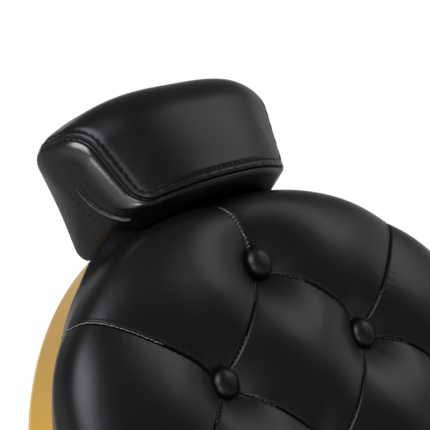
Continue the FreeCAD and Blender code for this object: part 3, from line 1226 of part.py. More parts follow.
def build():
    """All pieces of the chair by node name."""
    nodes = {
        "base_plate": base_plate(),
        "base_ring": base_ring(),
        "base_cover": base_cover(),
        "pump_body": pump_body(),
        "pump_bolts": pump_bolts(),
        "pump_collar": pump_collar(),
        "pedal_pin": pedal_pin(),
        "pedal_lever": pedal_lever(),
        "pedal_pad": pedal_pad(),
        "ram": ram(),
        "thrust_bearing": thrust_bearing(),
        "swivel_hub": swivel_hub(),
        "swivel_bush": swivel_bush(),
        "cross_tube_front": cross_tube(-CROSS_SPACING / 2),
        "cross_tube_rear": cross_tube(CROSS_SPACING / 2),
        "frame_bolts": frame_bolts(),
        "seat_shell": seat_shell(),
        "seat_board": seat_board(),
        "seat_cushion": seat_cushion(),
        "arm_bolts": arm_bolts(),
        "cross_shaft": cross_shaft(),
        "release_lever": release_lever(),
        "release_grip": release_grip(),
        "back_cushion": back_cushion(),
        "back_buttons": back_buttons(),
        "back_board": back_board(),
        "back_bolts": back_bolts(),
        "back_shell": back_shell(),
        "legrest_tie": legrest_tie(),
        "legrest_board": legrest_board(),
        "legrest_cushion": legrest_cushion(),
        "foot_pin": foot_pin(),
        "footplate": footplate(),
        "footplate_mat": footplate_mat(),
        "headrest_cushion": headrest_cushion(),
        "headrest_board": headrest_board(),
        "headrest_post": headrest_post(),
        "post_sleeve": post_sleeve(),
        "headrest_knob": headrest_knob(),
    }
    pairs = {
        "seat_rail": seat_rail(),
        "hinge_plate": hinge_plate(),
        "arm_frame": arm_frame(),
        "arm_pad": arm_pad(),
        "back_upright": back_upright(),
        "drag_link": drag_link(),
        "legrest_arm": legrest_arm(),
    }
    for name, shape in pairs.items():
        nodes[name + "_left"], nodes[name + "_right"] = both_sides(shape)
    sets = {
        "legrest_plates": legrest_plate(),
        "legrest_pins": legrest_pin(),
        "recliner_housings": recliner_housing(),
        "recliner_discs": recliner_disc(),
        "rear_link_pins": rear_link_pin(),
        "front_link_pins": front_link_pin(),
    }
    for name, shape in sets.items():
        nodes[name] = group(both_sides(shape))
    return nodes


def export(nodes):
    """One file per node, each checked to be closed."""
    os.makedirs("parts", exist_ok=True)
    for name, shape in nodes.items():
        if not shape.isValid():
            raise ValueError(name + " is not a valid shape")
        shape.exportStep("parts/" + name + ".step")


export(build())
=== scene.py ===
"""Looks of a reclining barber chair: tufted round back, wrapped headrest, pads, gold shells, steel frame."""
from __future__ import annotations

import json
import logging
import math
from dataclasses import dataclass, field
from enum import Enum
from typing import Any, Callable, Mapping, Sequence

import bpy
import numpy as np
from mathutils import Matrix

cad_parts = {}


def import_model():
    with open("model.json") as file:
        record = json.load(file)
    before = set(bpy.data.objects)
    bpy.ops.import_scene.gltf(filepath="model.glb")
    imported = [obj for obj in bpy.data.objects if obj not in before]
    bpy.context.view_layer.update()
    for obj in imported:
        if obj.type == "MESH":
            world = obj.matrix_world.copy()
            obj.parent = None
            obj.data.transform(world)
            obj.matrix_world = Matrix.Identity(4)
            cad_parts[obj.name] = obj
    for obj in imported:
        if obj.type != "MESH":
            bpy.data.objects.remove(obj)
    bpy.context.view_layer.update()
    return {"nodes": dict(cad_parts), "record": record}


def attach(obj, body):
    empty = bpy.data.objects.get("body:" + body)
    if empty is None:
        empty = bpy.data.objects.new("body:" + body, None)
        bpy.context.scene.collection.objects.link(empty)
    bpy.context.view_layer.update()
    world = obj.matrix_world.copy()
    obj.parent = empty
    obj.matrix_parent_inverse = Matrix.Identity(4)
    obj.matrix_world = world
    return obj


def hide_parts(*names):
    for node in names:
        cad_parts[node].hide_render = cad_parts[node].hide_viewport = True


LOG = logging.getLogger("barber_chair")
MM = 0.001
POLISH = "rubbed_smooth"
WHITE = (1.0, 1.0, 1.0, 1.0)
Array = np.ndarray


class Slot(Enum):
    """Material slots of the part's record."""

    LEATHER = "black_leather"
    GOLD_MOULDING = "gold_moulding"
    GOLD_CASTING = "gold_casting"
    GOLD_METAL = "gold_metal"
    BLACK_STEEL = "black_steel"
    BRIGHT_STEEL = "bright_steel"
    ZINC_STEEL = "zinc_steel"
    HUB_IRON = "hub_iron"
    BRONZE = "bronze"
    PLYWOOD = "plywood"
    RUBBER = "black_rubber"
    PLASTIC = "black_plastic"


# Shader graphs


class Value:
    """A node's socket whose arithmetic adds Math nodes."""

    def __init__(self, graph: Graph, socket: bpy.types.NodeSocket) -> None:
        """Keeps the graph and the socket."""
        self.graph = graph
        self.socket = socket

    def _math(self, operation: str, first: Value | float, second: Value | float) -> Value:
        """Adds one Math node."""
        return self.graph.add("ShaderNodeMath", {"operation": operation}, {0: first, 1: second})

    def __add__(self, other: Value | float) -> Value:
        """Sum."""
        return self._math("ADD", self, other)

    def __radd__(self, other: float) -> Value:
        """Sum with a number first."""
        return self._math("ADD", other, self)

    def __sub__(self, other: Value | float) -> Value:
        """Difference."""
        return self._math("SUBTRACT", self, other)

    def __rsub__(self, other: float) -> Value:
        """Difference with a number first."""
        return self._math("SUBTRACT", other, self)

    def __mul__(self, other: Value | float) -> Value:
        """Product."""
        return self._math("MULTIPLY", self, other)

    def __rmul__(self, other: float) -> Value:
        """Product with a number first."""
        return self._math("MULTIPLY", other, self)


class Graph:
    """Node tree of a material or of the world, with one way to add any node."""

    def __init__(self, tree: bpy.types.NodeTree) -> None:
        """Empties the tree.

        Args:
            tree: the node tree to fill.
        """
        self.tree = tree
        tree.nodes.clear()

    def add(self, kind: str, settings: Mapping[str, Any] | None = None,
            links: Mapping[int | str, Any] | None = None, out: int | str = 0) -> Value | None:
        """Adds a node.

        Args:
            kind: node type.
            settings: attributes of the node; "stops" is a ramp's list of position and colour.
            links: values or linked sockets by input name or number.
            out: output to return.

        Returns:
            The wrapped output, or None for a node without outputs.
        """
        node = self.tree.nodes.new(kind)
        for key, value in (settings or {}).items():
            if key == "stops":
                self._set_stops(node.color_ramp, value)
            else:
                setattr(node, key, value)
        for key, value in (links or {}).items():
            if isinstance(value, Value):
                self.tree.links.new(value.socket, node.inputs[key])
            else:
                node.inputs[key].default_value = value
        return Value(self, node.outputs[out]) if len(node.outputs) else None

    @staticmethod
    def _set_stops(ramp: bpy.types.ColorRamp, stops: Sequence[tuple[float, float]]) -> None:
        """Sets a ramp's grey stops, of which there are two or more.

        Args:
            ramp: the node's ramp.
            stops: position and grey of each stop.
        """
        while len(ramp.elements) < len(stops):
            ramp.elements.new(1.0)
        for element, (position, grey) in zip(ramp.elements, stops):
            element.position = position
            element.color = (grey, grey, grey, 1.0)

    def place(self) -> Value:
        """Object coordinates in metres."""
        return self.add("ShaderNodeTexCoord", out="Object")

    def noise(self, scale: float, detail: float = 3.0, rough: float = 0.5,
              place: Value | None = None) -> Value:
        """Noise from 0 to 1.

        Args:
            scale: waves per metre.
            detail: octaves.
            rough: strength of the finer octaves.
            place: coordinates, Object coordinates if left out.

        Returns:
            The noise.
        """
        links = {"Vector": place or self.place(), "Scale": scale, "Detail": detail, "Roughness": rough}
        return self.add("ShaderNodeTexNoise", links=links)

    def ramp(self, value: Value, *stops: tuple[float, float]) -> Value:
        """Grey ramp of a value through stops of position and grey."""
        return self.add("ShaderNodeValToRGB", {"stops": stops}, {0: value})

    def mix(self, share: Value, first: Sequence[float], second: Sequence[float]) -> Value:
        """Mix of two colours by a share."""
        links = {0: share, 6: (*first, 1.0), 7: (*second, 1.0)}
        return self.add("ShaderNodeMix", {"data_type": "RGBA"}, links, out=2)

    def stretched(self, factors: Sequence[float]) -> Value:
        """Object coordinates scaled by a factor along each axis."""
        return self.add("ShaderNodeMapping", links={"Vector": self.place(), "Scale": tuple(factors)})

    def bump(self, height: Value, strength: float, distance: float) -> Value:
        """Bumped normal of a height.

        Args:
            height: height from 0 to 1.
            strength: share of the effect.
            distance: height of a full step, in metres.

        Returns:
            The normal.
        """
        links = {"Strength": strength, "Distance": distance, "Height": height}
        return self.add("ShaderNodeBump", links=links)

    def height(self, vector: Value) -> Value:
        """Upright part of a vector."""
        return self.add("ShaderNodeSeparateXYZ", links={0: vector}, out="Z")

    def length(self, vector: Value) -> Value:
        """Length of a vector."""
        return self.add("ShaderNodeVectorMath", {"operation": "LENGTH"}, {0: vector}, out="Value")

    def step(self, value: Value, low: float, high: float) -> Value:
        """Smooth step of a value: 0 below low, 1 above high."""
        links = {"Value": value, "From Min": low, "From Max": high}
        return self.add("ShaderNodeMapRange", {"interpolation_type": "SMOOTHSTEP"}, links)

    def rays(self, *kinds: str) -> Value:
        """Switch that is 1 for rays of the given kinds and 0 for others.

        Args:
            kinds: kinds of rays, as a Light Path node names them.

        Returns:
            The sum of their switches, at most 1.
        """
        switches = [self.add("ShaderNodeLightPath", out=f"Is {kind} Ray") for kind in kinds]
        total = sum(switches[1:], switches[0])
        return self.add("ShaderNodeMath", {"operation": "MINIMUM"}, {0: total, 1: 1.0})

    def surface(self, links: Mapping[int | str, Any]) -> None:
        """Principled surface with the given inputs as the material's output."""
        shader = self.add("ShaderNodeBsdfPrincipled", links=links)
        self.add("ShaderNodeOutputMaterial", links={"Surface": shader})


# Finishes


@dataclass(frozen=True)
class Finish:
    """A finish by name; each kind shades its own graph."""

    name: str
    colour: tuple[float, float, float]
    roughness: float

    def material(self) -> bpy.types.Material:
        """The finish's material, made once.

        Returns:
            The material.
        """
        material = bpy.data.materials.get(self.name)
        if material is None:
            material = bpy.data.materials.new(self.name)
            material.use_nodes = True
            material.diffuse_color = (*self.colour, 1.0)
            self.shade(Graph(material.node_tree))
        return material

    def scaled(self, factor: float) -> tuple[float, ...]:
        """The colour times a factor, at most 1."""
        return tuple(min(1.0, part * factor) for part in self.colour)

    def toned(self, graph: Graph, share: Value, low: float, high: float) -> Value:
        """The colour, drifting by a share from one factor to another."""
        return graph.mix(share, self.scaled(low), self.scaled(high))

    def gloss(self, share: Value, swing: float) -> Value:
        """The roughness, swinging by a share evenly about its own value."""
        return self.roughness - swing / 2 + share * swing

    def shade(self, graph: Graph) -> None:
        """Fills the graph; every kind has its own."""
        raise NotImplementedError


@dataclass(frozen=True)
class Leather(Finish):
    """Satin leatherette: pebbled grain, fine pores, gloss that drifts slowly, and edges rubbed smooth."""

    grain: float = 1.1
    grain_strength: float = 0.4
    pebble_share: float = 0.65
    specular: float = 0.25
    tint: tuple[float, float, float, float] = (0.90, 0.94, 1.0, 1.0)
    rub_gloss: float = 0.12
    rub_coat: float = 0.24

    def shade(self, graph: Graph) -> None:
        """Pebbles are smoothed Voronoi cells, pores fine noise; slow noise and rubbed edges vary the gloss.

        Args:
            graph: the material's graph.
        """
        slow = graph.noise(7.0, 2.0)
        pebble = graph.add("ShaderNodeTexVoronoi", {"feature": "SMOOTH_F1"},
                           {"Vector": graph.place(), "Scale": 1.0 / (self.grain * MM), "Smoothness": 0.4})
        pores = graph.noise(2600.0, 2.0)
        height = pebble * self.pebble_share + pores * (1.0 - self.pebble_share)
        polish = graph.add("ShaderNodeAttribute", {"attribute_name": POLISH}, out="Fac")
        graph.surface({
            "Base Color": self.toned(graph, slow, 0.8, 1.25),
            "Roughness": self.gloss(slow, 0.1) - polish * self.rub_gloss,
            "Coat Weight": polish,
            "Coat Roughness": self.rub_coat,
            "Specular IOR Level": self.specular,
            "Specular Tint": self.tint,
            "Normal": graph.bump(height, self.grain_strength, 0.25 * MM),
        })


@dataclass(frozen=True)
class Thread(Finish):
    """Twisted sewing thread."""

    specular: float = 0.4

    def shade(self, graph: Graph) -> None:
        """Fine noise varies the tone and lifts the twist.

        Args:
            graph: the material's graph.
        """
        twist = graph.noise(1500.0, 2.0)
        graph.surface({
            "Base Color": self.toned(graph, twist, 0.7, 1.3),
            "Roughness": self.gloss(twist, 0.1),
            "Specular IOR Level": self.specular,
            "Normal": graph.bump(twist, 0.3, 0.1 * MM),
        })


@dataclass(frozen=True)
class Metal(Finish):
    """Metal or metallic lacquer: soft cloudiness, brushed or cast texture, optional clear coat."""

    metallic: float = 1.0
    coat: float = 0.0
    texture: float = 900.0
    texture_strength: float = 0.04
    stretch: tuple[float, float, float] = (1.0, 1.0, 1.0)
    wear: float = 0.12

    def shade(self, graph: Graph) -> None:
        """Slow noise varies tone and gloss; fine noise, drawn out along the grain, gives the texture.

        Args:
            graph: the material's graph.
        """
        slow = graph.noise(11.0, 3.0)
        fine = graph.noise(self.texture, 3.0, 0.6, graph.stretched(self.stretch))
        patch = graph.ramp(graph.noise(38.0, 4.0), (0.45, 0.0), (0.7, 1.0))
        graph.surface({
            "Base Color": self.toned(graph, slow, 0.92, 1.06),
            "Metallic": self.metallic,
            "Roughness": self.gloss(slow, 0.08) + patch * self.wear * 0.5,
            "Coat Weight": self.coat,
            "Coat Roughness": 0.2,
            "Normal": graph.bump(fine, self.texture_strength, 0.2 * MM),
        })


@dataclass(frozen=True)
class Spun(Metal):
    """Metal turned on a lathe: fine rings about the vertical axis."""

    rings: float = 1500.0

    def shade(self, graph: Graph) -> None:
        """Noise of distance from the axis plus height gives the rings; slow noise varies tone and gloss.

        Args:
            graph: the material's graph.
        """
        slow = graph.noise(9.0, 2.0)
        run = graph.length(graph.stretched((1.0, 1.0, 0.0))) + graph.height(graph.place())
        turned = graph.add("ShaderNodeTexNoise", {"noise_dimensions": "1D"},
                           {"W": run, "Scale": self.rings, "Detail": 3.0})
        graph.surface({
            "Base Color": self.toned(graph, slow, 0.94, 1.05),
            "Metallic": self.metallic,
            "Roughness": self.roughness - 0.04 + slow * 0.06 + turned * 0.06,
            "Normal": graph.bump(turned, self.texture_strength, 0.15 * MM),
        })


@dataclass(frozen=True)
class Paint(Finish):
    """Powder coat, cast paint, rubber or moulded plastic: a coloured skin with a fine texture."""

    texture: float = 700.0
    texture_strength: float = 0.12
    dust: float = 0.25
    specular: float = 0.5

    def shade(self, graph: Graph) -> None:
        """Fine noise gives the skin, slow noise a dusty drift in tone and gloss.

        Args:
            graph: the material's graph.
        """
        slow = graph.noise(16.0, 4.0)
        fine = graph.noise(self.texture, 3.0, 0.55)
        graph.surface({
            "Base Color": self.toned(graph, slow, 1.0 - self.dust, 1.0 + self.dust),
            "Roughness": self.gloss(slow, 0.1),
            "Specular IOR Level": self.specular,
            "Normal": graph.bump(fine, self.texture_strength, 0.3 * MM),
        })


@dataclass(frozen=True)
class Wood(Finish):
    """Birch plywood: long grain lines and fine pores."""

    dark: tuple[float, float, float] = (0.30, 0.17, 0.08)

    def shade(self, graph: Graph) -> None:
        """Noise drawn out along one axis makes a grain that darkens the tone, and pores that lift the fibres.

        Args:
            graph: the material's graph.
        """
        grain = graph.noise(90.0, 4.0, 0.6, graph.stretched((0.12, 1.0, 1.0)))
        pores = graph.noise(600.0, 2.0, 0.5, graph.stretched((0.1, 1.0, 1.0)))
        graph.surface({
            "Base Color": graph.mix(graph.ramp(grain, (0.35, 0.0), (0.75, 1.0)), self.colour, self.dark),
            "Roughness": self.roughness + pores * 0.1,
            "Normal": graph.bump(pores, 0.2, 0.2 * MM),
        })


BLACK_LEATHER = Leather("satin_black_leatherette", (0.0011, 0.0011, 0.0013), 0.38)
PAD_LEATHER = Leather("black_leatherette_pads", (0.0011, 0.0011, 0.0013), 0.42, grain=1.3)
BLACK_THREAD = Thread("black_sewing_thread", (0.0015, 0.0015, 0.0015), 0.9, specular=0.0)
GREY_THREAD = Thread("grey_sewing_thread", (0.05, 0.05, 0.05), 0.40)
# Pale thread for the seams whose lips catch the key light: real stitches whose light colour is a painted
# highlight on the lip.
PALE_THREAD_HIGHLIGHT = Thread("pale_thread_painted_highlight", (0.22, 0.22, 0.22), 0.40)
# Leather far lighter and glossier than the cover, for the slit's lip bead: a painted highlight on the folded
# edge.
SLIT_EDGE_HIGHLIGHT = Leather("leatherette_edge_painted_highlight", (0.03, 0.03, 0.032), 0.30, specular=0.5)
GOLD_SHELL = Metal("satin_gold_lacquer", (0.70, 0.41, 0.058), 0.36)
GOLD_CAST = Metal("gold_lacquered_casting", (0.60, 0.36, 0.09), 0.32, metallic=0.95, coat=0.2, texture=420.0,
                  texture_strength=0.10)
GOLD_SPUN = Spun("spun_gold_plate", (0.60, 0.36, 0.07), 0.26, texture_strength=0.10)
BLACK_COAT = Paint("black_powder_coat", (0.012, 0.012, 0.013), 0.42, specular=0.3)
BRIGHT = Metal("ground_bright_steel", (0.62, 0.62, 0.61), 0.16, texture=700.0, stretch=(1.0, 1.0, 0.05))
ZINC = Metal("zinc_plated_steel", (0.50, 0.50, 0.48), 0.34, texture=260.0, texture_strength=0.08, wear=0.3)
IRON = Paint("painted_hub_casting", (0.022, 0.022, 0.023), 0.5, texture=260.0, texture_strength=0.35)
BRONZE = Metal("bearing_bronze", (0.52, 0.31, 0.12), 0.30, texture=800.0)
PLY = Wood("birch_plywood", (0.56, 0.39, 0.22), 0.55)
RUBBER = Paint("black_moulded_rubber", (0.013, 0.013, 0.013), 0.62, texture=1200.0, texture_strength=0.2,
               specular=0.35)
PLASTIC = Paint("black_grained_plastic", (0.014, 0.014, 0.015), 0.38, texture=900.0, texture_strength=0.15)

SLOT_FINISH: dict[Slot, Finish] = {
    Slot.LEATHER: BLACK_LEATHER,
    Slot.GOLD_MOULDING: GOLD_SHELL,
    Slot.GOLD_CASTING: GOLD_CAST,
    Slot.GOLD_METAL: GOLD_SPUN,
    Slot.BLACK_STEEL: BLACK_COAT,
    Slot.BRIGHT_STEEL: BRIGHT,
    Slot.ZINC_STEEL: ZINC,
    Slot.HUB_IRON: IRON,
    Slot.BRONZE: BRONZE,
    Slot.PLYWOOD: PLY,
    Slot.RUBBER: RUBBER,
    Slot.PLASTIC: PLASTIC,
}


# Surfaces


@dataclass
class Surface:
    """Points in millimetres, with quads and triangles between them."""

    points: Array
    quads: Array
    tris: Array = field(default_factory=lambda: np.zeros((0, 3), dtype=int))

    def merged(self, step: float = 0.002) -> Surface:
        """Points nearer than the step made one, and faces that fall flat removed.

        Args:
            step: size of the raster, in millimetres, on which points count as the same.

        Returns:
            The welded surface.
        """
        _, first, index = np.unique(np.round(self.points / step).astype(np.int64), axis=0, return_index=True,
                                    return_inverse=True)
        index = index.reshape(-1)
        quads = index[self.quads]
        tris = index[self.tris]
        ordered = np.sort(quads, axis=1)
        flat = (ordered[:, 1:] == ordered[:, :-1]).any(axis=1)
        loose = quads[flat]
        keep = loose != np.roll(loose, -1, axis=1)
        three = keep.sum(axis=1) == 3
        folded = loose[three][keep[three]].reshape(-1, 3)
        tris = np.concatenate([tris, folded])
        ordered = np.sort(tris, axis=1)
        tris = tris[(ordered[:, 1:] != ordered[:, :-1]).all(axis=1)]
        return Surface(self.points[first], quads[~flat], tris)

    def volume(self) -> float:
        """Signed volume: a sixth of the sum of the triple products of all triangles.

        Returns:
            The volume in cubic millimetres.
        """
        q = self.quads
        tris = np.concatenate([q[:, [0, 1, 2]], q[:, [0, 2, 3]], self.tris])
        a, b, c = (self.points[tris[:, i]] for i in range(3))
        return float(np.einsum("ij,ij->i", a, np.cross(b, c)).sum() / 6.0)

    def flipped(self) -> Surface:
        """The surface with its faces turned over."""
        return Surface(self.points, self.quads[:, ::-1], self.tris[:, ::-1])

    def outward(self) -> Surface:
        """The closed surface with its faces turned outwards."""
        return self if self.volume() >= 0 else self.flipped()


def together(parts: Sequence[Surface]) -> Surface:
    """Surfaces as one, each with its own points.

    Args:
        parts: the surfaces.

    Returns:
        All of them as one surface.
    """
    shifts = np.cumsum([0] + [len(part.points) for part in parts[:-1]])
    quads = [part.quads + shift for part, shift in zip(parts, shifts)]
    tris = [part.tris + shift for part, shift in zip(parts, shifts)]
    points = np.concatenate([part.points for part in parts])
    return Surface(points, np.concatenate(quads), np.concatenate(tris))


def grid_quads(rows: int, cols: int, close_rows: bool = False, close_cols: bool = False) -> Array:
    """Quads of a grid of points stored row by row.

    Args:
        rows: number of rows.
        cols: number of points in a row.
        close_rows: whether the last row joins the first.
        close_cols: whether each row closes on itself.

    Returns:
        Four point numbers per quad.
    """
    i, j = np.meshgrid(np.arange(rows - (not close_rows)), np.arange(cols - (not close_cols)), indexing="ij")
    down = (i + 1) % rows
    side = (j + 1) % cols
    corners = [i * cols + j, down * cols + j, down * cols + side, i * cols + side]
    return np.stack(corners, axis=-1).reshape(-1, 4)


def loft(rings: Array, caps: bool = True) -> Surface:
    """Skin over closed rings, with a fan to the middle of the first and of the last ring.

    Args:
        rings: ring by ring, each with the same number of points.
        caps: whether both ends are closed.

    Returns:
        The skin.
    """
    count, size = rings.shape[:2]
    points = rings.reshape(-1, 3)
    quads = grid_quads(count, size, close_cols=True)
    if not caps:
        return Surface(points, quads)
    around = np.arange(size)
    after = (around + 1) % size
    last = (count - 1) * size
    first_fan = np.stack([np.full(size, len(points)), around, after], axis=-1)
    last_fan = np.stack([np.full(size, len(points) + 1), last + after, last + around], axis=-1)
    middles = np.stack([rings[0].mean(axis=0), rings[-1].mean(axis=0)])
    return Surface(np.concatenate([points, middles]), quads, np.concatenate([first_fan, last_fan]))


def ease(value: Array, low: float, high: float) -> Array:
    """Smooth step: 0 below low, 1 above high, 3t2 - 2t3 between."""
    t = np.clip((value - low) / (high - low), 0.0, 1.0)
    return t * t * (3.0 - 2.0 * t)


def bell(value: Array, width: float) -> Array:
    """Bell curve exp(-(v/w)2)."""
    return np.exp(-((value / width) ** 2))


def unit(vectors: Array) -> Array:
    """Vectors divided by their lengths."""
    return vectors / np.linalg.norm(vectors, axis=-1, keepdims=True)


def lengths(line: Array) -> Array:
    """Length along a line at each of its points: the running sum of the distances between them."""
    return np.concatenate([[0.0], np.cumsum(np.linalg.norm(np.diff(line, axis=0), axis=1))])


def points_at(line: Array, run: Array, places: Array) -> Array:
    """Points of a line at places along it, where run is the place of each of its own points."""
    return np.stack([np.interp(places, run, line[:, i]) for i in range(line.shape[1])], axis=1)


def crowded(count: int, share: float) -> Array:
    """Numbers from 0 to 1 that lie closer at both ends: t less share times sin(2 pi t) / 2 pi."""
    t = np.linspace(0.0, 1.0, count)
    return t - share * np.sin(2 * np.pi * t) / (2 * np.pi)


def crowded_at(length: float, count: int, spots: Sequence[float], width: float, gain: float) -> Array:
    """Numbers from 0 to a length that lie closer round given spots: the inverse of a summed density of bells.

    Args:
        length: end of the range.
        count: how many numbers.
        spots: where they crowd.
        width: width of each bell.
        gain: density at a spot against 1 elsewhere.

    Returns:
        The numbers, from 0 to the length.
    """
    fine = np.linspace(0.0, length, 8001)
    density = 1.0 + (gain - 1.0) * bell(fine[:, None] - np.array(spots)[None], width).max(axis=1)
    run = np.concatenate([[0.0], np.cumsum((density[1:] + density[:-1]) / 2)])
    return np.interp(np.linspace(0.0, run[-1], count), run, fine)


def rounded_polygon(corners: Sequence[tuple[float, float]], radii: Sequence[float], steps: int = 24) -> Array:
    """Closed outline through corners, each rounded by an arc.

    Args:
        corners: corner points in order.
        radii: one radius per corner.
        steps: points along each arc.

    Returns:
        Points of the outline, the first in the middle of the first corner's arc.
    """
    points = np.array(corners, dtype=float)
    before = unit(np.roll(points, 1, axis=0) - points)
    after = unit(np.roll(points, -1, axis=0) - points)
    half = np.arccos((before * after).sum(axis=1)) / 2
    radius = np.array(radii, dtype=float)
    middle = unit(before + after)
    centre = points + middle * (radius / np.sin(half))[:, None]
    sweep = np.pi / 2 - half
    turn = np.linspace(-1.0, 1.0, steps)[None, :] * sweep[:, None]
    out = -middle
    side = np.stack([-out[:, 1], out[:, 0]], axis=1)
    side *= np.sign((side * after).sum(axis=1))[:, None]
    arcs = centre[:, None] + radius[:, None, None] * (out[:, None] * np.cos(turn)[..., None]
                                                      + side[:, None] * np.sin(turn)[..., None])
    return np.roll(arcs.reshape(-1, 2), -(steps // 2), axis=0)


def along_loop(loop: Array, count: int) -> tuple[Array, float]:
    """Points at equal distances along a closed outline.

    Args:
        loop: points of the outline.
        count: number of points wanted.

    Returns:
        The points, the first one kept, and the outline's length.
    """
    closed = np.concatenate([loop, loop[:1]])
    run = lengths(closed)
    places = np.linspace(0.0, run[-1], count, endpoint=False)
    return points_at(closed, run, places), float(run[-1])


def polyline_distance(points: Array, line: Array) -> tuple[Array, Array, Array]:
    """Distance of points from a polyline in a plane.

    Args:
        points: points, any shape ending in 2.
        line: the polyline's points.

    Returns:
        The distance, the side (positive to the left), and the length along the line at the nearest point.
    """
    start, step = line[:-1], np.diff(line, axis=0)
    length = np.linalg.norm(step, axis=1)
    run = lengths(line)[:-1]
    away = points[..., None, :] - start
    share = np.clip((away * step).sum(axis=-1) / length ** 2, 0.0, 1.0)
    gap = away - share[..., None] * step
    size = np.linalg.norm(gap, axis=-1)
    best = size.argmin(axis=-1)[..., None]
    cross = step[:, 0] * away[..., 1] - step[:, 1] * away[..., 0]

    def pick(values: Array) -> Array:
        """Values at the nearest piece of the line."""
        return np.take_along_axis(values, best, axis=-1)[..., 0]

    return pick(size), np.sign(pick(cross)), pick(run + share * length)


def instances(shape: Surface, places: Array, frames: Array) -> Surface:
    """Copies of a small shape.

    Args:
        shape: the shape in its own axes.
        places: origin of each copy.
        frames: three axis rows per copy.

    Returns:
        All copies as one surface.
    """
    points = places[:, None] + np.einsum("kc,scd->skd", shape.points, frames)
    shift = (np.arange(len(places)) * len(shape.points))[:, None, None]
    quads = (shape.quads[None] + shift).reshape(-1, 4)
    tris = (shape.tris[None] + shift).reshape(-1, 3)
    return Surface(points.reshape(-1, 3), quads, tris)


def stitch_shape(length: float, radius: float) -> Surface:
    """One stitch: a short thread along its first axis that dips at both ends.

    The section is a circle that narrows towards the ends, and the middle stands highest.

    Args:
        length: length of the stitch.
        radius: radius of the thread.

    Returns:
        The stitch, lying along its first axis with its third axis up.
    """
    t = np.linspace(-1.0, 1.0, 7)
    turn = np.linspace(0.0, 2 * np.pi, 6, endpoint=False)
    girth = radius * np.sqrt(np.clip(1.05 - t ** 4, 0.05, 1.0))
    rings = np.stack([
        np.broadcast_to((t * length / 2)[:, None], (7, 6)),
        girth[:, None] * np.cos(turn),
        girth[:, None] * np.sin(turn) - (radius * 1.2 * t ** 4)[:, None],
    ], axis=-1)
    return loft(rings).outward()


def laid(shape: Surface, places: Array, along: Array, up: Array, lift: float = 0.0) -> Surface:
    """Stitches laid on a skin: their axes run along the thread, across it, and up, made square to the thread.

    Args:
        shape: one stitch.
        places: place of each stitch.
        along: direction of the thread at each place.
        up: direction out of the skin at each place.
        lift: height over the place.

    Returns:
        The stitches.
    """
    along = unit(along)
    up = unit(up - along * (up * along).sum(axis=-1, keepdims=True))
    return instances(shape, places + up * lift, np.stack([along, np.cross(up, along), up], axis=1))


def smooth_mesh(name: str, surface: Surface) -> bpy.types.Mesh:
    """Mesh of a surface in metres, shaded smooth.

    Args:
        name: name of the mesh.
        surface: the surface in millimetres.

    Returns:
        The mesh.
    """
    mesh = bpy.data.meshes.new(name)
    mesh.vertices.add(len(surface.points))
    mesh.vertices.foreach_set("co", (surface.points * MM).astype(np.float32).ravel())
    corners = np.concatenate([surface.quads.ravel(), surface.tris.ravel()])
    mesh.loops.add(len(corners))
    mesh.loops.foreach_set("vertex_index", corners.astype(np.int32))
    starts = np.concatenate([np.arange(len(surface.quads)) * 4,
                             len(surface.quads) * 4 + np.arange(len(surface.tris)) * 3])
    mesh.polygons.add(len(starts))
    mesh.polygons.foreach_set("loop_start", starts.astype(np.int32))
    mesh.polygons.foreach_set("use_smooth", np.ones(len(starts), dtype=bool))
    mesh.update(calc_edges=True)
    return mesh


def read_rows(items: Any, name: str, width: int, kind: type) -> Array:
    """Numbers of all points, edges or corners of a mesh.

    Args:
        items: the mesh's points, edges or corners.
        name: what is read.
        width: how many numbers each has.
        kind: numpy's kind of number.

    Returns:
        One row per item.
    """
    flat = np.empty(len(items) * width, dtype=kind)
    items.foreach_get(name, flat)
    return flat.reshape(-1, width)


def mesh_points(mesh: bpy.types.Mesh) -> Array:
    """Points of a mesh in millimetres."""
    return read_rows(mesh.vertices, "co", 3, np.float32).astype(float) / MM


def mesh_edges(mesh: bpy.types.Mesh) -> Array:
    """Numbers of the two points of every edge of a mesh."""
    return read_rows(mesh.edges, "vertices", 2, np.int32)


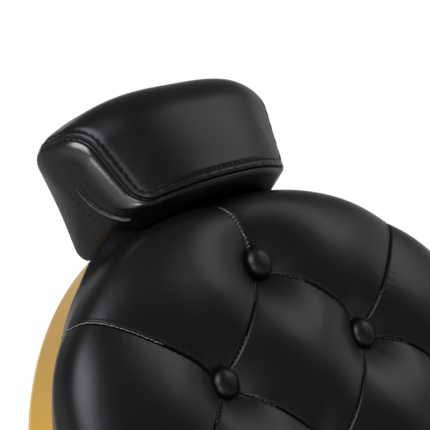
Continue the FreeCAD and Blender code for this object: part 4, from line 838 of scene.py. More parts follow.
@dataclass(frozen=True)
class Stuffing:
    """Filling that presses a sewn cover outwards as cloth."""

    pressure: float = 4.0
    stiffness: float = 4.0
    shear: float = 1.0
    bending: float = 0.1
    frames: int = 20
    easing: int = 2

    def fill(self, surface: Surface, held: Callable[[Array], Array], voxel: float, cap: float) -> Surface:
        """Cover remeshed evenly, pressed outwards and eased.

        A point that the simulation moves by d moves by d min(1, cap / |d|).

        Args:
            surface: closed cover, slightly small.
            held: tells which points stay where they are.
            voxel: size of the even mesh.
            cap: furthest that a point may move.

        Returns:
            The stuffed cover.
        """
        piece = self._even(surface, voxel)
        start = mesh_points(piece.data)
        stays = held(start)
        moved = self._pressed(piece, stays) - start
        far = np.linalg.norm(moved, axis=1, keepdims=True)
        LOG.info("stuffing: %d points, moved %.1f mm at most", len(start), float(far.max()))
        points = start + moved * np.minimum(1.0, cap / np.maximum(far, 1e-6))
        points = self._eased(points, mesh_edges(piece.data), stays)
        corners = read_rows(piece.data.loops, "vertex_index", 1, np.int32)
        bpy.data.objects.remove(piece)
        return Surface(points, corners.reshape(-1, 4))

    @staticmethod
    def _even(surface: Surface, voxel: float) -> bpy.types.Object:
        """Object for the simulation, with the surface remeshed in even quads.

        Args:
            surface: closed cover.
            voxel: size of the even mesh.

        Returns:
            The object.
        """
        piece = bpy.data.objects.new("stuffing", smooth_mesh("stuffing", surface))
        bpy.context.scene.collection.objects.link(piece)
        even = piece.modifiers.new("even", "REMESH")
        even.mode = "VOXEL"
        even.voxel_size = voxel * MM
        evaluated = piece.evaluated_get(bpy.context.evaluated_depsgraph_get())
        piece.data = bpy.data.meshes.new_from_object(evaluated)
        piece.modifiers.clear()
        return piece

    def _pressed(self, piece: bpy.types.Object, stays: Array) -> Array:
        """Points of an object after all frames of the cloth.

        Args:
            piece: the object.
            stays: mask of the points that are held.

        Returns:
            The points in millimetres.
        """
        group = piece.vertex_groups.new(name="held")
        group.add(np.flatnonzero(stays).tolist(), 1.0, "REPLACE")
        cloth = piece.modifiers.new("cloth", "CLOTH")
        settings = cloth.settings
        settings.vertex_group_mass = group.name
        settings.use_pressure = True
        settings.uniform_pressure_force = self.pressure
        settings.tension_stiffness = self.stiffness
        settings.compression_stiffness = self.stiffness
        settings.shear_stiffness = self.shear
        settings.bending_stiffness = self.bending
        settings.effector_weights.gravity = 0.0
        cloth.point_cache.frame_start = 1
        cloth.point_cache.frame_end = self.frames
        scene = bpy.context.scene
        for step in range(1, self.frames + 1):
            scene.frame_set(step)
        points = mesh_points(piece.evaluated_get(bpy.context.evaluated_depsgraph_get()).data)
        scene.frame_set(1)
        return points

    def _eased(self, points: Array, edges: Array, stays: Array) -> Array:
        """Points that aren't held, mixed evenly with the mean of their neighbours, in rounds.

        Args:
            points: the points.
            edges: point numbers of every edge.
            stays: mask of the points that are held.

        Returns:
            The eased points.
        """
        here, there = np.concatenate([edges, edges[:, ::-1]]).T
        count = np.bincount(here, minlength=len(points))[:, None]
        for _ in range(self.easing):
            total = np.stack([np.bincount(here, part, len(points)) for part in points[there].T], axis=1)
            points = np.where(stays[:, None], points, (points + total / count) / 2)
        return points


def make_object(name: str, surface: Surface, finish: Finish, body: str,
                sharp: Array | None = None, polish: Array | None = None) -> bpy.types.Object:
    """Makes a smooth mesh object that rides on a body.

    Args:
        name: name of the piece.
        surface: its surface in millimetres.
        finish: its finish.
        body: body that carries it.
        sharp: mask of the points between which edges stay sharp.
        polish: share from 0 to 1 by which each point is rubbed smooth.

    Returns:
        The object.
    """
    mesh = smooth_mesh(name, surface)
    if sharp is not None:
        edges = sharp[mesh_edges(mesh)].all(axis=1)
        mesh.attributes.new("sharp_edge", "BOOLEAN", "EDGE").data.foreach_set("value", edges)
    if polish is not None:
        mesh.attributes.new(POLISH, "FLOAT", "POINT").data.foreach_set("value", polish.astype(np.float32))
    mesh.validate()
    mesh.materials.append(finish.material())
    piece = bpy.data.objects.new(name, mesh)
    bpy.context.scene.collection.objects.link(piece)
    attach(piece, body)
    LOG.info("%s: %d points, %d faces on %s", name, len(mesh.vertices), len(mesh.polygons), body)
    return piece


# The round back


@dataclass
class BackFrame:
    """Frame of the leaning back: across, up the back, and out of its front, from the middle of the disc."""

    hinge_y: float = 290.0
    hinge_z: float = 385.0
    lean: float = 27.0
    disc_up: float = 400.0
    plane: float = 90.0

    def world(self, x: Array, u: Array, n: Array) -> Array:
        """Chair coordinates: the hinge, plus the plane's distance and the height turned by the lean.

        Args:
            x: across.
            u: up the back from the disc's middle.
            n: out of the front from the button plane.

        Returns:
            Points in millimetres.
        """
        c, s = math.cos(math.radians(self.lean)), math.sin(math.radians(self.lean))
        out = self.plane + n
        up = self.disc_up + u
        y = self.hinge_y - out * c + up * s
        z = self.hinge_z + out * s + up * c
        return np.stack(np.broadcast_arrays(x, y, z), axis=-1)

    def placed(self, surface: Surface) -> Surface:
        """A surface given across, up and out, in the chair's coordinates."""
        return Surface(self.world(*surface.points.T), surface.quads, surface.tris)


@dataclass
class Seam:
    """A pleat seam in the flattened cover: a chord with a parabolic bow, its depth and its trough's reach.

    The pale shares say between which shares of the chord it is sewn with pale thread, real stitches whose
    light colour is a painted highlight along the seam's lip.
    """

    start: Array
    end: Array
    bow: float = 0.0
    depth_start: float = 0.0
    depth_end: float = 0.0
    reach: float = 1.0
    pale: tuple[float, float] = (0.0, 0.0)

    def _axes(self) -> tuple[Array, Array, float]:
        """Axes of the chord; the bow lies on the side away from the disc's middle.

        Returns:
            Unit vector along the chord, unit vector to the bowed side, and the chord's length.
        """
        chord = self.end - self.start
        length = float(np.linalg.norm(chord))
        along = chord / length
        side = np.array([-along[1], along[0]])
        if side @ (self.start + self.end) < 0:
            side = -side
        return along, side, length

    def at(self, t: Array) -> Array:
        """Points of the seam at shares of its chord: chord point plus bow times 4t(1-t)."""
        along, side, length = self._axes()
        return self.start + along * (t * length)[..., None] + side * (self.bow * 4 * t * (1 - t))[..., None]

    def measure(self, points: Array) -> tuple[Array, Array, Array]:
        """Where points lie beside the bowed line.

        Args:
            points: points of the flattened cover.

        Returns:
            Distance from the line, share along the chord, and the side.
        """
        along, side, length = self._axes()
        away = points - self.start
        run = away @ along
        t = np.clip(run / length, 0.0, 1.0)
        across = away @ side - self.bow * 4 * t * (1 - t)
        return np.hypot(across, run - t * length), t, np.sign(across)

    def trough(self, points: Array) -> Array:
        """Depth of the trough: the seam's depth times (1 - distance / reach) squared.

        Args:
            points: points of the flattened cover.

        Returns:
            The depth at each point.
        """
        gap, t, _ = self.measure(points)
        depth = self.depth_start + (self.depth_end - self.depth_start) * ease(t, 0.0, 1.0)
        return depth * np.clip(1.0 - gap / self.reach, 0.0, 1.0) ** 2


@dataclass
class TuftedBack:
    """Round back pad: twelve pillows between pleat seams that run from button to button and over the rim."""

    frame: BackFrame = field(default_factory=BackFrame)
    # Untufted pad and its outline
    radius: float = 276.0
    crest: float = 29.5
    widest: float = -34.0
    squareness: float = 3.5
    rear: float = -55.0
    fullness: float = 273.4
    lobes: float = 7.2
    broad: float = 5.9
    shoulder: float = 9.0
    shoulder_at: float = 58.0
    shoulder_width: float = 15.0
    top_dip: float = 6.0
    top_dip_width: float = 20.0
    overhang: float = 9.5
    overhang_at: float = 24.0
    overhang_width: float = 15.0
    tuck: float = 2.0
    rear_ring: float = 0.8
    # Lattice of buttons and seams
    pitch: float = 97.0
    ties: dict[tuple[int, int], tuple[float, float]] = field(
        default_factory=lambda: {(0, 2): (-1.0, -2.0), (1, 1): (-3.0, 2.2), (2, 0): (0.0, 3.0)})
    bows: tuple[float, ...] = (7.0, 14.0, 6.0, 7.0, 6.0, 8.0, 7.0, 0.5)
    rim_sweep: float = 2.0
    left_drop: float = 2.1
    top_drift: float = 4.5
    drawn_reach: float = 15.0
    # Stretches sewn with pale thread, whose colour paints the highlight along the lips of these seams.
    pale: dict[int, tuple[float, float]] = field(default_factory=lambda: {0: (0.1, 0.5), 7: (0.42, 0.97)})
    # Depth of the tufts
    seam_depth: float = 12.5
    rim_depth: float = 2.0
    reach: float = 66.0
    pit_depth: float = 26.5
    pit_floor: float = 10.0
    pit_reach: float = 90.0
    pit_power: float = 2.2
    power: float = 2.5
    crease_depth: float = 3.2
    crease_width: float = 1.2
    lip_height: float = 0.8
    lip_at: float = 2.4
    lip_width: float = 1.2
    far_lip: float = 0.35
    pleat_step: float = 0.9
    pleat_reach: float = 6.0
    pleat_width: float = 40.0
    fold_depth: float = 0.2
    fold_at: float = 20.0
    fold_width: float = 14.0
    pucker_height: float = 0.28
    pucker_pitch: float = 8.0
    pucker_reach: float = 5.0
    unevenness: float = 0.5
    # Buttons and stitches
    button_radius: float = 14.5
    button_rise: float = 8.6
    stitch_pitch: float = 4.4
    stitch_reach: float = 48.0
    stitch: tuple[float, float] = (3.4, 0.32)
    stitch_lift: float = 0.8
    # Pale stitches lie flush with the lip, where their colour paints its highlight.
    pale_stitch: tuple[float, float] = (4.5, 0.26)
    pale_lift: float = 1.05
    # Mesh
    cell: int = 60
    rim_cell: int = 92
    crowding: float = 0.82
    weld: float = 0.01

    def knots(self, steps: Sequence[tuple[int, int]]) -> Array:
        """Places of buttons by their lattice steps, a little off the lattice where tied so by hand."""
        off = np.array([self.ties.get(step, (0.0, 0.0)) for step in steps])
        return np.array(steps, dtype=float) * self.pitch + off

    def buttons(self) -> Array:
        """The nine buttons of the diamond lattice."""
        return self.knots([(0, 0), (0, 2), (0, -2), (2, 0), (-2, 0), (1, 1), (1, -1), (-1, 1), (-1, -1)])

    def profile(self) -> tuple[Array, Array, Array]:
        """Section of the untufted pad from its middle to the rear.

        The front is a superellipse, (r / R)^m + (h / H)^m = 1, down to the widest place; the side runs on to
        the rear.

        Returns:
            Length along the section, radius, and height out of the button plane.
        """
        m = 2.0 / self.squareness
        angle = np.linspace(0.0, np.pi / 2, 600)
        r = self.fullness * np.sin(angle) ** m
        n = self.widest + (self.crest - self.widest) * np.cos(angle).clip(0.0) ** m
        side = np.linspace(self.widest, self.rear, 40)[1:]
        r, n = np.concatenate([r, np.full(len(side), self.fullness)]), np.concatenate([n, side])
        return np.concatenate([[0.0], np.cumsum(np.hypot(np.diff(r), np.diff(n)))]), r, n

    def rim_length(self) -> float:
        """Length of the cover from the middle over the rounded edge to the rear."""
        return float(self.profile()[0][-1])

    @staticmethod
    def _quarters(turn: Array) -> Array:
        """Share that is 1 in the middle of each quarter of the disc and 0 between: (1 - cos 4t) / 2."""
        return (1.0 - np.cos(4 * turn)) / 2.0

    @staticmethod
    def _from_top(turn: Array) -> Array:
        """Degrees from the top of the disc."""
        return np.degrees(np.arctan2(np.cos(turn), np.sin(turn)))

    def front_radius(self, turn: Array) -> Array:
        """Radius of the stuffed edge: a broad circle with full quarters and shoulders, pressed in at the top.

        Args:
            turn: angles round the disc.

        Returns:
            The radius at each angle.
        """
        away = self._from_top(turn)
        lobe = self.lobes * self._quarters(turn)
        lobe += self.shoulder * bell(np.abs(away) - self.shoulder_at, self.shoulder_width)
        dip = self.top_dip * bell(away, self.top_dip_width)
        return self.fullness + lobe + self.broad * np.cos(2 * turn) - dip

    def rear_radius(self, turn: Array) -> Array:
        """Radius of the rear edge: the shell's, bulged by full quarters and most by the pillows at the top.

        Args:
            turn: angles round the disc.

        Returns:
            The radius at each angle.
        """
        quarters = self.overhang * 0.5 * self._quarters(turn)
        away = np.abs(self._from_top(turn))
        beside_top = self.overhang * bell(away - self.overhang_at, self.overhang_width)
        return self.radius + np.maximum(quarters, beside_top)

    def rim_turn(self, button: Array) -> float:
        """Angle at which the seam from a button reaches the rear edge.

        The slanting seams sweep towards the sides, and those at the top and the upper left are drawn round.

        Args:
            button: place of the button.

        Returns:
            The angle.
        """
        turn = math.atan2(button[1], button[0])
        degrees = math.degrees(turn)
        drawn = self.left_drop * bell(degrees - 135.0, self.drawn_reach)
        drawn += self.top_drift * bell(degrees - 90.0, self.drawn_reach)
        return turn + math.radians(float(drawn) - self.rim_sweep * math.sin(2 * turn))

    def seams(self) -> list[Seam]:
        """Twelve seams of the lattice and eight that run straight out over the rim.

        Returns:
            The seams.
        """
        tips = self.knots([(0, 2), (2, 0), (0, -2), (-2, 0)])
        inner = self.knots([(1, 1), (1, -1), (-1, -1), (-1, 1)])
        lines: list[Seam] = []
        d = self.seam_depth
        for i in range(4):
            lines.append(Seam(tips[i], inner[i], self.bows[2 * i], d, d, self.reach))
            lines.append(Seam(inner[i], tips[(i + 1) % 4], self.bows[2 * i + 1], d, d, self.reach))
            lines.append(Seam(np.zeros(2), inner[i], 0.0, d, d, self.reach))
        for number, start in enumerate(np.concatenate([tips, inner])):
            turn = self.rim_turn(start)
            end = np.array([math.cos(turn), math.sin(turn)]) * self.rim_length()
            pale = self.pale.get(number, (0.0, 0.0))
            lines.append(Seam(start, end, 0.0, d, self.rim_depth, self.reach, pale))
        return lines

    def section(self, flat: Array) -> tuple[Array, Array]:
        """Untufted cover: the section turned round the disc, with the edge's radius changing round it.

        The flattened point's distance from the middle runs along the section. Only the outer part follows the
        change of radius, by the sixth power of r / R. The normal is square to the section.

        Args:
            flat: points of the flattened cover.

        Returns:
            Points as across, up and out, and their normals.
        """
        table, radii, heights = self.profile()
        run = np.linalg.norm(flat, axis=-1)
        turn = np.arctan2(flat[..., 1], flat[..., 0])
        r, n = np.interp(run, table, radii), np.interp(run, table, heights)
        share = np.clip((self.widest - n) / (self.widest - self.rear), 0.0, 1.0)
        full = self.front_radius(turn)
        rear = self.rear_radius(turn)
        r = r + (full - self.fullness) * (r / self.fullness) ** 6
        r = r + (rear - full) * ease(share, 0.0, 1.0)
        r = r - self.tuck * np.clip((share - 0.8) / 0.2, 0.0, 1.0) ** 2
        around = np.stack([np.cos(turn), np.sin(turn)], axis=-1)
        points = np.concatenate([around * r[..., None], n[..., None]], axis=-1)
        out = np.interp(run, table, -np.gradient(heights, table))
        front = np.interp(run, table, np.gradient(radii, table))
        size = np.hypot(out, front)
        normals = np.concatenate([around * (out / size)[..., None], (front / size)[..., None]], axis=-1)
        return points, normals

    def sink(self, flat: Array) -> Array:
        """Depth of the cover below its crest.

        A power sum of all troughs and pits, pull folds round the buttons, a sharp crease and a lip beside it.

        Args:
            flat: points of the flattened cover.

        Returns:
            The depth at each point.
        """
        total = np.zeros(flat.shape[:-1])
        nearest = np.full(flat.shape[:-1], 1e9)
        run = np.zeros(flat.shape[:-1])
        lip_side = np.zeros(flat.shape[:-1])
        for seam in self.seams():
            total += seam.trough(flat) ** self.power
            gap, t, side = seam.measure(flat)
            closer = gap < nearest
            nearest = np.where(closer, gap, nearest)
            run = np.where(closer, t * np.linalg.norm(seam.end - seam.start), run)
            lip_side = np.where(closer, side, lip_side)
        button_gap = np.full(flat.shape[:-1], 1e9)
        folds = np.zeros(flat.shape[:-1])
        for number, button in enumerate(self.buttons()):
            away = flat - button
            gap = np.linalg.norm(away, axis=-1)
            button_gap = np.minimum(button_gap, gap)
            reach = np.clip(1.0 - np.clip(gap - self.pit_floor, 0.0, None) / self.pit_reach, 0.0, 1.0)
            total += (self.pit_depth * reach ** self.pit_power) ** self.power
            turn = np.arctan2(away[..., 1], away[..., 0]) + 1.7 * number
            waves = np.sin(9 * turn) + 0.7 * np.sin(14 * turn + 1.0)
            folds += bell(gap - self.fold_at, self.fold_width) * waves
        sink = total ** (1.0 / self.power) + self.fold_depth * folds
        clear = ease(button_gap, self.button_radius * 0.8, self.button_radius * 1.9)
        sink = sink + clear * self.crease_depth * np.exp(-nearest / self.crease_width)
        pucker = self.pucker_height * np.sin(2 * np.pi * run / self.pucker_pitch)
        pucker *= np.exp(-nearest / self.pucker_reach)
        lip = self.lip_height * bell(nearest - self.lip_at, self.lip_width)
        lip *= np.where(lip_side > 0, 1.0, self.far_lip)
        top = ease(flat[..., 1], 1.9 * self.pitch, 2.1 * self.pitch) * bell(flat[..., 0], self.pleat_width)
        lip -= top * self.pleat_step * lip_side * np.exp(-nearest / self.pleat_reach)
        slow = self.unevenness * np.sin(flat[..., 0] / 31.0 + 1.3) * np.sin(flat[..., 1] / 37.0 + 0.4)
        return sink - clear * (lip + pucker) - slow

    def raised(self, flat: Array) -> tuple[Array, Array]:
        """Cover as across, up and out with the tufts sunk along the section's normals, and those normals."""
        points, normals = self.section(flat)
        return points - normals * self.sink(flat)[..., None], normals

    def patches(self) -> tuple[list[Array], list[Array]]:
        """Flattened grids of the pillows, each a Coons patch whose edges lie on seams or on the rear edge.

        Returns:
            The four inner diamonds and the eight outer pillows.
        """
        s = crowded(self.cell + 1, self.crowding)
        inner: list[Array] = []
        outer: list[Array] = []
        corners = self.knots([(0, 2), (1, 1), (2, 0), (1, -1), (0, -2), (-1, -1), (-2, 0), (-1, 1)])
        hub = np.zeros(2)
        for i in range(0, 8, 2):
            before, tip, after = corners[i - 1], corners[i], corners[(i + 1) % 8]
            low = Seam(hub, before).at(s)
            right = Seam(before, tip, self.bows[i - 1]).at(s)
            left = Seam(hub, after).at(s)
            top = Seam(after, tip, self.bows[i]).at(s)
            inner.append(self._coons(low, top, left, right, s, s))
        t = np.linspace(0.0, 1.0, self.rim_cell + 1)
        t = t * (0.22 + 0.78 * t) * 0.65 + t * 0.35
        for i in range(8):
            a, b = corners[i], corners[(i + 1) % 8]
            turn_a, turn_b = self.rim_turn(a), self.rim_turn(b)
            if turn_b > turn_a:
                turn_b -= 2 * math.pi
            turns = turn_a + (turn_b - turn_a) * s
            low = Seam(a, b, self.bows[i]).at(s)
            top = np.stack([np.cos(turns), np.sin(turns)], axis=-1) * self.rim_length()
            left = a + (top[0] - a) * t[:, None]
            right = b + (top[-1] - b) * t[:, None]
            outer.append(self._coons(low, top, left, right, s, t))
        return inner, outer

    @staticmethod
    def _coons(low: Array, top: Array, left: Array, right: Array, s: Array, t: Array) -> Array:
        """Coons patch: the ruled surfaces between opposite edges, less the bilinear one through the corners.

        Args:
            low: points of the first edge, along s.
            top: points of the edge opposite to it.
            left: points of the edge along t where s is 0.
            right: points of the edge along t where s is 1.
            s: shares along the first edge.
            t: shares across.

        Returns:
            Grid of points, a row for each t.
        """
        s, t = s[None, :, None], t[:, None, None]
        ruled = (1 - t) * low[None] + t * top[None] + (1 - s) * left[:, None] + s * right[:, None]
        corner = (1 - t) * ((1 - s) * low[0] + s * low[-1]) + t * ((1 - s) * top[0] + s * top[-1])
        return ruled - corner

    def cover(self) -> tuple[Surface, Array]:
        """The whole cover with a closed rear.

        Returns:
            The welded surface, and a mask of the points on seams.
        """
        inner, outer = self.patches()
        front = together([Surface(self.raised(patch)[0].reshape(-1, 3), grid_quads(*patch.shape[:2]))
                          for patch in inner + outer])
        edge = np.concatenate([self.raised(patch[-1:])[0][0, :-1] for patch in outer])
        rings = np.concatenate([edge, edge * np.array([self.rear_ring, self.rear_ring, 1.0])])
        size = len(edge)
        around = np.arange(size)
        fan = np.stack([np.full(size, 2 * size), size + around, size + (around + 1) % size], axis=-1)
        rear = Surface(np.concatenate([rings, [[0.0, 0.0, edge[:, 2].mean()]]]),
                       grid_quads(2, size, close_cols=True)[:, ::-1], fan)
        whole = together([self._facing(front, 1.0), self._facing(rear, -1.0)]).merged(self.weld)
        flat = np.concatenate([patch.reshape(-1, 2) for patch in inner + outer])
        return self.frame.placed(whole), self._on_seam(flat, front, whole)

    @staticmethod
    def _facing(part: Surface, out: float) -> Surface:
        """A part turned so that its faces point out of the front (1) or out of the rear (-1).

        Args:
            part: the part, as across, up and out.
            out: direction, 1 or -1.

        Returns:
            The part as it was or with its faces turned over.
        """
        a, b, c = (part.points[part.quads[:, i]] for i in range(3))
        return part if out * np.cross(b - a, c - a)[:, 2].sum() > 0 else part.flipped()

    def _on_seam(self, flat: Array, front: Surface, whole: Surface) -> Array:
        """Mask of the welded points that lie on a seam of the flattened cover.

        Args:
            flat: flattened points of the front.
            front: the front before it was welded.
            whole: the welded cover.

        Returns:
            The mask.
        """
        nearest = np.full(len(flat), 1e9)
        for seam in self.seams():
            nearest = np.minimum(nearest, seam.measure(flat)[0])
        on_seam = np.round(front.points[nearest < self.weld] / self.weld).astype(np.int64)
        keys = np.round(whole.points / self.weld).astype(np.int64)
        weights = np.array([1, 1 << 20, 1 << 40], dtype=np.int64)
        return np.isin(keys @ weights, on_seam @ weights)

    def stitches(self, pale: bool) -> Surface:
        """Running stitches along the pleat seams, flush with the lips on pale seams and sunk on the others.
        The pale ones paint the highlight of the lips.

        Args:
            pale: whether to sew the pale stretches, or the other seams near their buttons.

        Returns:
            The stitches.
        """
        rows: list[Surface] = []
        lift = self.crease_depth * (self.pale_lift if pale else self.stitch_lift)
        shape = stitch_shape(*(self.pale_stitch if pale else self.stitch))
        for seam in self.seams():
            first, last = seam.pale if pale else (0.0, 0.9)
            if last <= first or (not pale and seam.pale[1] > 0.0):
                continue
            length = float(np.linalg.norm(seam.end - seam.start))
            run = np.arange(max(self.button_radius * 1.35, first * length), length * last, self.stitch_pitch)
            flat = seam.at(run / length)
            gap = np.linalg.norm(flat[:, None] - self.buttons()[None], axis=-1).min(axis=1)
            clear = (gap > self.button_radius * 1.3) & ((gap < self.stitch_reach) | pale)
            points, normals = self.raised(flat[clear])
            ahead, _ = self.raised(seam.at(run[clear] / length + 1e-3))
            rows.append(laid(shape, points + normals * lift, ahead - points, normals))
        return self.frame.placed(together(rows))

    def button_covers(self) -> Surface:
        """Leather-covered buttons: a dome over a rounded rim, slightly full, revolved about its axis.

        Returns:
            The nine buttons.
        """
        angle = np.linspace(0.0, 1.0, 22) * np.pi * 0.62
        r = self.button_radius * np.sin(np.minimum(angle, np.pi / 2)) ** 0.82
        r = r - 2.2 * np.clip(angle - np.pi / 2, 0.0, None) ** 1.5
        n = 1.0 + self.button_rise * np.where(angle < np.pi / 2, np.cos(angle), 1.6 * np.cos(angle))
        turn = np.linspace(0.0, 2 * np.pi, 48, endpoint=False)
        fold = 1.0 + 0.012 * np.sin(9 * turn + 0.7)[None, :] * ease(angle, 1.1, 1.7)[:, None]
        rings = np.stack([r[:, None] * np.cos(turn) * fold, r[:, None] * np.sin(turn) * fold,
                          np.broadcast_to(n[:, None], fold.shape)], axis=-1)
        shape = loft(rings[1:]).outward()
        centres = np.concatenate([self.buttons(), np.zeros((9, 1))], axis=1)
        return self.frame.placed(instances(shape, centres, np.broadcast_to(np.eye(3), (9, 3, 3))))

    def build(self) -> None:
        """Makes cover, stitches and buttons."""
        surface, on_seam = self.cover()
        pad = make_object("back_tufted_cover", surface, BLACK_LEATHER, "back", on_seam)
        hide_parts("back_cushion")
        make_object("back_pleat_stitches", self.stitches(False), GREY_THREAD, "back")
        # Pale stitches on two seams: their light colour is a painted highlight along the lips.
        make_object("back_pale_stitches_painted_highlight", self.stitches(True), PALE_THREAD_HIGHLIGHT, "back")
        covers = self.button_covers()
        buttons = make_object("back_covered_buttons", covers, BLACK_LEATHER, "back")
        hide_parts("back_buttons")


# The headrest


@dataclass
class SewnSkin:
    """Grid of the headrest, ring by ring: smooth pad in its own frame, placed skin and its normals.

    Lengths round the section and across the pad say where a row or a ring lies in the flattened cover.
    """

    pad: Array
    around: Array
    across: Array
    skin: Array
    normal: Array

    def sampled(self, values: Array, spots: Array) -> Array:
        """Values of the grid at places of the flattened cover, by bilinear mixing.

        Args:
            values: values on the grid.
            spots: lengths round and across, one row per place.

        Returns:
            One row per place.
        """
        rows, cols = len(self.across), len(self.around)
        fa = np.interp(spots[:, 0], self.around, np.arange(cols))
        fc = np.interp(spots[:, 1], self.across, np.arange(rows))
        i, j = np.floor(fc).astype(int), np.floor(fa).astype(int)
        i = np.clip(i, 0, rows - 2)
        wi, wj = (fc - i)[:, None], (fa - j)[:, None]
        j, k = j % cols, (j + 1) % cols
        return ((1 - wi) * ((1 - wj) * values[i, j] + wj * values[i, k])
                + wi * ((1 - wj) * values[i + 1, j] + wj * values[i + 1, k]))

    def on_end(self, spots: Array, beyond: float) -> tuple[Array, Array]:
        """Skin and normal of the near end panel, by a bell-weighted mean of the points nearby.

        Args:
            spots: places in the plane of the panel.
            beyond: length across past which the end panel lies.

        Returns:
            Points of the skin and unit normals.
        """
        rings = np.flatnonzero(self.across < -beyond)
        plane = self.pad[rings][..., 1:].reshape(-1, 2)
        weight = bell(np.linalg.norm(spots[:, None] - plane[None], axis=-1), 1.1) + 1e-30
        weight /= weight.sum(axis=1, keepdims=True)
        up = weight @ self.normal[rings].reshape(-1, 3)
        return weight @ self.skin[rings].reshape(-1, 3), unit(up)


